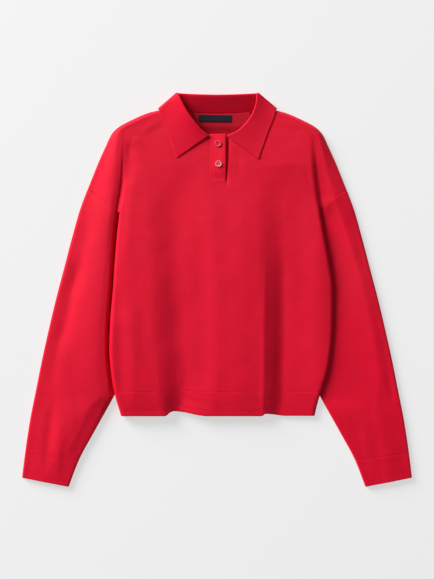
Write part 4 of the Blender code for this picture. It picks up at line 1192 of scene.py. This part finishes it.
def strip_grid(low, high, height):
    """A strip between two corners, at the height that a function gives for each place."""
    x, y = np.meshgrid(np.linspace(low[0], high[0], BAND_COLUMNS), np.linspace(low[1], high[1], BAND_ROWS))
    return np.stack([x, y, height(x, y)], axis=2)


def upper_band_height(x, y):
    """The upper band: flush with the front at its sewn left side and at its foot, and lifting to its
    free right edge, with a line of stitches sunk across its foot."""
    lift = BAND_LIFT * ease((x - BAND_LIFT_FROM[0]) / BAND_LIFT_OVER[0])
    lift = lift * ease((y - BAND_LIFT_FROM[1]) / BAND_LIFT_OVER[1])
    puff = BAND_PUFF * ease((x - PLACKET_LEFT) / BAND_PUFF_OVER[0])
    puff = puff * ease((y - PLACKET_BOTTOM) / BAND_PUFF_OVER[1])
    stitch = line_across(y, BAND_STITCH_Y, BAND_STITCH_DEPTH, BAND_STITCH_WIDTH)
    return front_top(x, y) + BAND_OVER_FRONT + puff + lift + stitch


def under_band_height(x, y):
    """The under band: below the front by half of each cloth."""
    return front_top(x, y) - WALL / 2 - UNDER_BAND_BELOW


def lathe(profile, sides):
    """A profile of (radius, height) carried round the Z axis: each point times the cosine and sine of
    the turn."""
    turn = np.linspace(0, 2 * np.pi, sides, endpoint=False)
    radius, height = profile[:, 0], profile[:, 1]
    x, y = np.outer(radius, np.cos(turn)), np.outer(radius, np.sin(turn))
    return np.stack([x, y, np.broadcast_to(height[:, None], x.shape)], axis=2)


def button_grid():
    """A four-hole button: a lathed disc with a raised rim and a shallow dish, sunk at each hole by a
    steep bell."""
    radius, thick = BUTTON_DIAMETER / 2, BUTTON_THICKNESS
    shape = table(
        "r z",
        (0.02, 0.0),
        (radius * 0.72, 0.0),
        (radius * 0.93, thick * 0.2),
        (radius, thick * 0.5),
        (radius * 0.97, thick * 0.8),
        (radius * 0.88, thick),
        (radius * 0.78, thick * 0.96),
        (radius * 0.66, thick * 0.66),
        (radius * 0.5, thick * BUTTON_DISH),
        (0.02, thick * BUTTON_DISH),
    )
    rank = np.arange(len(shape["r"]))
    along = np.concatenate([np.linspace(0, 1, 4), np.linspace(1, 8, 40)[1:], np.linspace(8, 9, 22)[1:]])
    profile = np.stack([np.interp(along, rank, shape["r"]), np.interp(along, rank, shape["z"])], axis=1)
    grid = lathe(profile, BUTTON_SIDES)
    half = BUTTON_HOLE_SPACING / 2
    on_top = (along > 7)[:, None]
    for dx, dy in ((-half, -half), (half, -half), (half, half), (-half, half)):
        off = np.hypot(grid[..., 0] - dx, grid[..., 1] - dy)
        sink = thick * BUTTON_HOLE_DEPTH * ease((BUTTON_HOLE_REACH - off) / BUTTON_HOLE_WALL)
        grid[..., 2] -= np.where(on_top, sink, 0.0)
    return grid


def tube_grid(path, radius, sides=8):
    """A round cord along a path: a circle in the plane across the path's direction at each of its
    points."""
    along = np.gradient(path, axis=0)
    along /= np.linalg.norm(along, axis=1, keepdims=True)
    across = np.cross(along, np.array([0.0, 0.0, 1.0]))
    steep = np.linalg.norm(across, axis=1) < 1e-3
    across[steep] = np.array([1.0, 0.0, 0.0])
    across /= np.linalg.norm(across, axis=1, keepdims=True)
    upright = np.cross(across, along)
    turn = np.linspace(0, 2 * np.pi, sides, endpoint=False)[None, :, None]
    return path[:, None] + radius * (np.cos(turn) * across[:, None] + np.sin(turn) * upright[:, None])


def closed_tube(name, grids, material):
    """Tubes as one piece. The ends of each are drawn together to a point."""
    points, faces, places, count = [], [], [], 0
    for grid in grids:
        middles = grid.mean(axis=1, keepdims=True)
        tips = middles + TIP_SHARE * (grid - middles)
        grid = np.concatenate([tips[:1], grid, tips[-1:]])
        rows, columns, _ = grid.shape
        quads = quads_of(rows, columns, ring=True)
        points.append(grid.reshape(-1, 3))
        faces.append(quads + count)
        places.append(cloth_corners(grid, ring=True))
        count += rows * columns
    return mesh_piece(name, np.concatenate(points), np.concatenate(faces), np.concatenate(places), material)


# Finishes


def new_group(name, inputs, outputs):
    """A node group with named sockets. Returns its tree, its input node and its output node."""
    group = bpy.data.node_groups.new(name, "ShaderNodeTree")
    for label, kind, value in inputs:
        socket = group.interface.new_socket(label, in_out="INPUT", socket_type="NodeSocket" + kind)
        if value is not None:
            socket.default_value = value
    for label, kind in outputs:
        group.interface.new_socket(label, in_out="OUTPUT", socket_type="NodeSocket" + kind)
    return group, group.nodes.new("NodeGroupInput"), group.nodes.new("NodeGroupOutput")


def feed(tree, socket, value):
    """Gives an input socket a number or a colour, or links another socket to it."""
    if isinstance(value, (int, float, tuple)):
        socket.default_value = value
    else:
        tree.links.new(value, socket)


def set_inputs(tree, node, **values):
    """Feeds a node's named inputs, where an underscore stands for a space. Returns the node."""
    for label, value in values.items():
        feed(tree, node.inputs[label.replace("_", " ")], value)
    return node


def add_node(tree, kind, **values):
    """A new shader node with its named inputs fed."""
    return set_inputs(tree, tree.nodes.new("ShaderNode" + kind), **values)


def calculate(tree, operation, *values):
    """A Math node on numbers, sockets or further sums, each an operation with its values. Returns its
    output."""
    node = add_node(tree, "Math")
    node.operation = operation
    for socket, value in zip(node.inputs, values):
        feed(tree, socket, calculate(tree, *value) if isinstance(value, tuple) else value)
    return node.outputs[0]


def mix_colour(tree, share, first, second):
    """A colour Mix node. Returns its output."""
    node = add_node(tree, "Mix")
    node.data_type = "RGBA"
    for socket, value in zip((node.inputs[0], node.inputs[6], node.inputs[7]), (share, first, second)):
        feed(tree, socket, value)
    return node.outputs[2]


def noise(tree, vector, scale, detail=2.0, roughness=0.5):
    """A Noise texture's value at a vector."""
    values = {"Scale": scale, "Detail": detail, "Roughness": roughness}
    return add_node(tree, "TexNoise", Vector=vector, **values).outputs[0]


def knit_group():
    """Plain knitting. Across a wale two yarn legs lean together, so the height is a rounded ridge at a
    quarter and at three quarters of the wale, times a rounded bead along it that slants with the
    distance from the wale's middle."""
    tree, given, made = new_group(
        "plain knitting",
        [
            ("Cloth place", "Vector", None),
            ("Wale width", "Float", 1.15),
            ("Course height", "Float", 0.9),
            ("Yarn", "Color", (0.7, 0.02, 0.05, 1.0)),
            ("Between stitches", "Color", (0.4, 0.0, 0.02, 1.0)),
            ("Fuzz", "Float", 0.25),
        ],
        [("Colour", "Color"), ("Roughness", "Float"), ("Height", "Float")],
    )
    place = given.outputs["Cloth place"]
    split = add_node(tree, "SeparateXYZ", Vector=place)
    wander = ("MULTIPLY", ("SUBTRACT", noise(tree, place, WANDER_NOISE), 0.5), WALE_WANDER)
    wales = calculate(tree, "DIVIDE", ("ADD", split.outputs[0], wander), given.outputs["Wale width"])
    courses = calculate(tree, "DIVIDE", split.outputs[1], given.outputs["Course height"])
    off_middle = calculate(tree, "ABSOLUTE", ("SUBTRACT", ("FRACT", wales), 0.5))
    leg = ("POWER", ("MAXIMUM", ("SINE", ("MULTIPLY", off_middle, 2 * np.pi)), 0.0), LEG_ROUND)
    slanted = ("ADD", courses, ("MULTIPLY", off_middle, STITCH_SLANT))
    bead = ("POWER", ("SINE", ("MULTIPLY", ("FRACT", slanted), np.pi)), BEAD_ROUND)
    stitch = calculate(tree, "MULTIPLY", leg, ("ADD", ("MULTIPLY", bead, BEAD_RISE), 1 - BEAD_RISE))
    stretched = add_node(tree, "Mapping", Vector=place, Scale=FIBRE_STRETCH).outputs[0]
    loose = ("SUBTRACT", noise(tree, stretched, *FIBRE_NOISE), 0.5)
    height = calculate(tree, "ADD", stitch, ("MULTIPLY", loose, given.outputs["Fuzz"]))
    # painted shade: the colour darkens between the stitches, where shade falls
    colour = mix_colour(tree, stitch, given.outputs["Between stitches"], given.outputs["Yarn"])
    rough = calculate(tree, "SUBTRACT", KNIT_ROUGH[0], ("MULTIPLY", stitch, KNIT_ROUGH[1]))
    set_inputs(tree, made, Colour=colour, Roughness=rough, Height=height)
    return tree


def mottle_group():
    """Slow unevenness of a colour: two sizes of noise make it a little lighter or darker."""
    tree, given, made = new_group(
        "uneven dye",
        [("Place", "Vector", None), ("Colour", "Color", (0.5, 0.5, 0.5, 1.0)), ("Amount", "Float", 0.08)],
        [("Colour", "Color")],
    )
    place = given.outputs["Place"]
    broad, fine = noise(tree, place, *DYE_BROAD_NOISE), noise(tree, place, *DYE_FINE_NOISE)
    both = ("ADD", ("MULTIPLY", broad, DYE_BROAD_SHARE), ("MULTIPLY", fine, 1 - DYE_BROAD_SHARE))
    change = ("MULTIPLY", ("SUBTRACT", both, 0.5), given.outputs["Amount"])
    factor = calculate(tree, "ADD", ("MULTIPLY", change, DYE_CONTRAST), 1.0)
    node = add_node(tree, "VectorMath")
    node.operation = "SCALE"
    tree.links.new(given.outputs["Colour"], node.inputs[0])
    tree.links.new(factor, node.inputs["Scale"])
    tree.links.new(node.outputs[0], made.inputs["Colour"])
    return tree


def new_material(name):
    """A material with its Principled shader, its cloth places and its object coordinates."""
    material = bpy.data.materials.new(name)
    material.use_nodes = True
    tree = material.node_tree
    place = add_node(tree, "UVMap")
    place.uv_map = "cloth"
    coordinate = add_node(tree, "TexCoord").outputs["Object"]
    return material, tree, tree.nodes["Principled BSDF"], place.outputs[0], coordinate


def group_node(tree, group, **values):
    """A node of a group in a material's tree, with its named inputs fed."""
    node = add_node(tree, "Group")
    node.node_tree = group
    return set_inputs(tree, node, **values)


def bump(tree, height, distance, strength=0.5):
    """A Bump node's normal, from a height whose whole range is the distance in millimetres."""
    node = add_node(tree, "Bump", Height=height, Distance=distance * MM, Strength=strength)
    return node.outputs["Normal"]


def knit_material(name, groups, yarn, between, wale, course, depth, turned=False):
    """Knitted cloth: the stitches' colour made a little uneven, their height as a bump, and a soft sheen
    of fibre. Turned has the ridges run across, as on the inner side of plain knitting."""
    material, tree, shader, cloth, place = new_material(name)
    if turned:
        cloth = add_node(tree, "Mapping", Vector=cloth, Rotation=(0.0, 0.0, np.pi / 2)).outputs[0]
    sizes = {"Wale_width": wale, "Course_height": course, "Fuzz": YARN_FUZZ}
    # between is the darker colour between stitches, which is painted shade
    knit = group_node(tree, groups["knit"], Cloth_place=cloth, Yarn=yarn, Between_stitches=between, **sizes)
    dye = group_node(tree, groups["mottle"], Place=place, Colour=knit.outputs["Colour"], Amount=0.07)
    rough, normal = knit.outputs["Roughness"], bump(tree, knit.outputs["Height"], depth)
    set_inputs(tree, shader, Base_Color=dye.outputs["Colour"], Roughness=rough, Normal=normal)
    set_inputs(tree, shader, Sheen_Weight=SHEEN, Sheen_Roughness=0.45, Sheen_Tint=SHEEN_TINT)
    set_inputs(tree, shader, Specular_IOR_Level=0.16)
    return material


def button_material(name, groups, deep, pale):
    """Cast polyester: a pink red with pale swirls, with a soft gloss."""
    material, tree, shader, _, place = new_material(name)
    swirl = noise(tree, place, *SWIRL_NOISE)
    colour = mix_colour(tree, swirl, deep, pale)
    dye = group_node(tree, groups["mottle"], Place=place, Colour=colour, Amount=0.05)
    rough = calculate(tree, "ADD", ("MULTIPLY", swirl, BUTTON_ROUGH[1]), BUTTON_ROUGH[0])
    set_inputs(tree, shader, Base_Color=dye.outputs["Colour"], Roughness=rough)
    set_inputs(tree, shader, Specular_IOR_Level=0.3, Coat_Weight=0.08, Coat_Roughness=0.12)
    return material


def label_material(groups):
    """Woven tape: threads over and under each other, one way by the sine along and the other by the sine
    across."""
    material, tree, shader, cloth, place = new_material("label_weave")
    split = add_node(tree, "SeparateXYZ", Vector=cloth)
    warp, weft = (("SINE", ("MULTIPLY", split.outputs[k], 2 * np.pi / LABEL_THREAD)) for k in range(2))
    weave = calculate(tree, "ADD", ("MULTIPLY", ("MULTIPLY", warp, weft), 0.5), 0.5)
    colour = mix_colour(tree, weave, LABEL_DARK, LABEL_LIGHT)
    dye = group_node(tree, groups["mottle"], Place=place, Colour=colour, Amount=0.12)
    rough = calculate(tree, "SUBTRACT", LABEL_ROUGH[0], ("MULTIPLY", weave, LABEL_ROUGH[1]))
    normal = bump(tree, weave, LABEL_WEAVE_DEPTH)
    set_inputs(tree, shader, Base_Color=dye.outputs["Colour"], Roughness=rough, Normal=normal)
    set_inputs(tree, shader, Specular_IOR_Level=0.2)
    return material


def thread_material(name, groups, colour, darker):
    """Twisted thread: plies that wind round, so the colour follows the sine of the place along plus the
    place round."""
    material, tree, shader, cloth, place = new_material(name)
    split = add_node(tree, "SeparateXYZ", Vector=cloth)
    wound = ("ADD", ("MULTIPLY", split.outputs[1], THREAD_PLIES), split.outputs[0])
    ply = calculate(tree, "ADD", ("MULTIPLY", ("SINE", wound), 0.5), 0.5)
    twist = mix_colour(tree, ply, darker, colour)
    dye = group_node(tree, groups["mottle"], Place=place, Colour=twist, Amount=0.08)
    normal = bump(tree, ply, THREAD_PLY_DEPTH, strength=1.0)
    set_inputs(tree, shader, Base_Color=dye.outputs["Colour"], Roughness=0.7, Normal=normal)
    return material


# The pieces


def make_body(knit, shaded_purl):
    """The front, cut open at the neck and the placket, and the back, cut open at the neck."""
    grid = front_grid()
    centre = int(np.argmin(abs(grid[0, :, 0])))
    grid, keep = cut_opening(grid, front_opening(), front_top)
    front = cloth_piece("front_cloth", grid, CLOTH, knit, keep, centre=centre)
    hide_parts("front_panel", "hem_band_front")
    grid = back_grid()
    centre = int(np.argmin(abs(grid[0, :, 0])))
    grid, keep = cut_opening(grid, back_opening(), back_height)
    # painted shade: the back's upper side, seen through the neck, takes the darkened inner knit
    back = cloth_piece("back_cloth", grid, CLOTH, knit, keep, centre=centre, inner=shaded_purl)
    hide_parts("back_panel", "hem_band_back")
    return front, back


def make_sleeves(knit):
    """The two sleeves, each a tube that is open at the cuff and at the armhole."""
    pieces = []
    for side in (-1, 1):
        name = side_name(side)
        grid = sleeve_grid(side)
        sleeve = cloth_piece(f"sleeve_cloth_{name}", grid, CLOTH, knit, ring=True)
        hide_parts(f"sleeve_{name}", f"cuff_{name}")
        pieces.append(sleeve)
    return pieces


def make_collar(knit):
    """The collar, stand and fall in one."""
    collar = cloth_piece("collar_cloth", collar_grid(), COLLAR_CLOTH, knit)
    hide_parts("collar")
    return collar


def make_placket(knit):
    """The placket's two bands, the upper one over the under one."""
    grid = strip_grid((PLACKET_LEFT, PLACKET_BOTTOM), (UPPER_BAND_RIGHT, PLACKET_TOP), upper_band_height)
    upper = cloth_piece("placket_upper_cloth", grid, UPPER_BAND_CLOTH, knit)
    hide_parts("placket_upper_band")
    foot, top = SLIT_FOOT[1] - UNDER_BAND_FOOT, PLACKET_TOP - UNDER_BAND_TOP
    grid = strip_grid((UNDER_BAND_LEFT, foot), (PLACKET_RIGHT, top), under_band_height)
    under = cloth_piece("placket_under_cloth", grid, UNDER_BAND_CLOTH, knit)
    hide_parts("placket_under_band")
    return upper, under


def make_buttons(groups, thread):
    """Two turned buttons, each with two runs of thread through its four holes."""
    for name, (x, y) in BUTTON_PLACES.items():
        base = float(upper_band_height(np.array(x), np.array(y))) + BUTTON_STANDS
        grid = button_grid() + np.array([x, y, base])
        rows, columns, _ = grid.shape
        places = cloth_corners(grid, ring=True)
        # painted light: each button has its own copy of the polyester, darker for the upper one as painted
        # shade, paler for the lower one as a painted highlight
        polyester = button_material(name + "_polyester_painted_light", groups, *BUTTON_COLOURS_PAINTED_LIGHT[name])
        faces = quads_of(rows, columns, ring=True)
        disc = mesh_piece(name + "_disc", grid.reshape(-1, 3), faces, places, polyester)
        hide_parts(name)
        runs = []
        half, top = BUTTON_HOLE_SPACING / 2, base + BUTTON_THICKNESS * BUTTON_DISH
        for dx in (-half, half):
            t = np.linspace(-1, 1, THREAD_STEPS)
            dip = THREAD_DIP * ease((np.abs(t) - THREAD_DIP_FROM) / (1 - THREAD_DIP_FROM))
            rise = THREAD_RISE * (1 - t**4) - dip
            path = np.stack([np.full_like(t, x + dx), y + THREAD_SPAN * half * t, top + rise], axis=1)
            runs.append(tube_grid(path, THREAD_RADIUS))
        stitch = closed_tube(name + "_thread", runs, thread)


def on_label(u, v):
    """Places along and across the label, turned and moved to where it lies."""
    turn = np.radians(LABEL_TURN)
    x = LABEL_CENTRE[0] + u * np.cos(turn) + v * np.sin(turn)
    return x, LABEL_CENTRE[1] - u * np.sin(turn) + v * np.cos(turn)


def make_label(tape, thread):
    """The bare label: a strip that puffs a little, by a high power of the place across and along, sewn
    down by a column of short stitches at each end. Each stitch is a cord along a flat bow."""
    half_x, half_y = LABEL_SIZE[0] / 2, LABEL_SIZE[1] / 2
    along = np.linspace(-half_x, half_x, LABEL_COLUMNS)
    u, v = np.meshgrid(along, np.linspace(-half_y, half_y, LABEL_ROWS))
    x, y = on_label(u, v)
    puff = LABEL_PUFF * (1 - (u / half_x) ** 8) * (1 - (v / half_y) ** 4)
    grid = np.stack([x, y, back_height(x, y) + WALL / 2 + SEAM_GAP + LABEL_CLOTH / 2 + puff], axis=2)
    label = cloth_piece("neck_label_tape", grid, LABEL_CLOTH, tape)
    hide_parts("neck_label")
    top = BACK_AT_NECK + WALL / 2 + SEAM_GAP + LABEL_CLOTH
    pitch = LABEL_SIZE[1] / LABEL_STITCHES
    runs = []
    for u in (LABEL_STITCH_IN - half_x, half_x - LABEL_STITCH_IN):
        for v in np.arange(LABEL_STITCHES) * pitch + pitch / 2 - half_y:
            t = np.linspace(-1, 1, LABEL_STITCH_STEPS)
            x, y = on_label(u, v + LABEL_STITCH_SHARE * pitch / 2 * t)
            bow = top + LABEL_STITCH_RISE * (1 - t**2) - LABEL_STITCH_SUNK
            runs.append(tube_grid(np.stack([x, y, bow], axis=1), LABEL_STITCH_RADIUS))
    stitches = closed_tube("neck_label_stitches", runs, thread)


def add_floor():
    """A plain pale floor that reaches far past the view."""
    mesh = bpy.data.meshes.new("floor")
    corners = [(x * FLOOR_REACH, y * FLOOR_REACH, 0) for x, y in ((-1, -1), (1, -1), (1, 1), (-1, 1))]
    mesh.from_pydata(corners, [], [(0, 1, 2, 3)])
    material = bpy.data.materials.new("pale_floor")
    material.use_nodes = True
    tree = material.node_tree
    shader = set_inputs(tree, tree.nodes["Principled BSDF"], Base_Color=FLOOR_COLOUR, Roughness=0.9)
    set_inputs(tree, shader, Emission_Color=FLOOR_COLOUR, Emission_Strength=FLOOR_GLOW)
    set_inputs(tree, shader, Specular_IOR_Level=0.1)
    mesh.materials.append(material)
    floor = new_object("floor", mesh)


def add_lamp(name, azimuth, elevation, distance, spread, strength):
    """A round soft lamp that faces the cloth. Azimuth is measured from the viewer's right towards the
    collar, and elevation from the surface. Spread is the angle that the lamp spans as seen from the
    cloth: its radius is the distance times the tangent of half of it, and its power is set so that
    strength is its light at the cloth."""
    half, turn, rise = np.radians(spread / 2), np.radians(azimuth), np.radians(elevation)
    radius = distance * np.tan(half)
    lamp = new_object(name, bpy.data.lights.new(name, "AREA"))
    lamp.data.shape = "DISK"
    lamp.data.size = 2 * radius
    lamp.data.energy = strength * np.pi * radius**2 / np.sin(half) ** 2
    level = np.cos(rise)
    lamp.location = distance * np.array([level * np.cos(turn), level * np.sin(turn), np.sin(rise)])
    lamp.rotation_euler = (0.0, np.pi / 2 - rise, turn)
    lamp.visible_camera = False


def add_camera():
    """Straight above, as in the photograph. The long side of the frame spans its real height at the
    cloth."""
    camera = bpy.data.cameras.new("camera")
    camera.sensor_width = SENSOR
    camera.lens = SENSOR * CAMERA_ABOVE_CLOTH / FRAME_HEIGHT
    view = new_object("camera", camera)
    view.location = (0.0, CAMERA_Y, CAMERA_HEIGHT)
    bpy.context.scene.camera = view


def add_lights():
    """A soft key that grazes the cloth from the upper left, and an even pale surround."""
    add_lamp("key", KEY_AZIMUTH, KEY_ELEVATION, KEY_DISTANCE, KEY_SPREAD, KEY_STRENGTH)
    world = bpy.data.worlds.new("surround")
    world.use_nodes = True
    background = world.node_tree.nodes["Background"]
    set_inputs(world.node_tree, background, Color=(1.0, 1.0, 1.0, 1.0), Strength=SURROUND)
    bpy.context.scene.world = world


def main():
    """The finishes, then every piece of the sweater, then the floor, the camera and the light."""
    groups = {"knit": knit_group(), "mottle": mottle_group()}
    knits = [knit_material(name, groups, *values) for name, values in KNITS.items()]
    body_knit, shaded_purl, collar_knit, band_knit = knits
    tape = label_material(groups)
    thread = thread_material("red_thread", groups, RED_THREAD, RED_THREAD_DARKER)
    dark_thread = thread_material("navy_thread", groups, NAVY_THREAD, NAVY_THREAD_DARKER)
    knitted = [*make_body(body_knit, shaded_purl), *make_sleeves(body_knit)]
    knitted += [make_collar(collar_knit), *make_placket(band_knit)]
    make_buttons(groups, thread)
    make_label(tape, dark_thread)
    add_floor()
    add_camera()
    add_lights()
    bpy.context.scene.view_settings.view_transform = "Standard"


main()
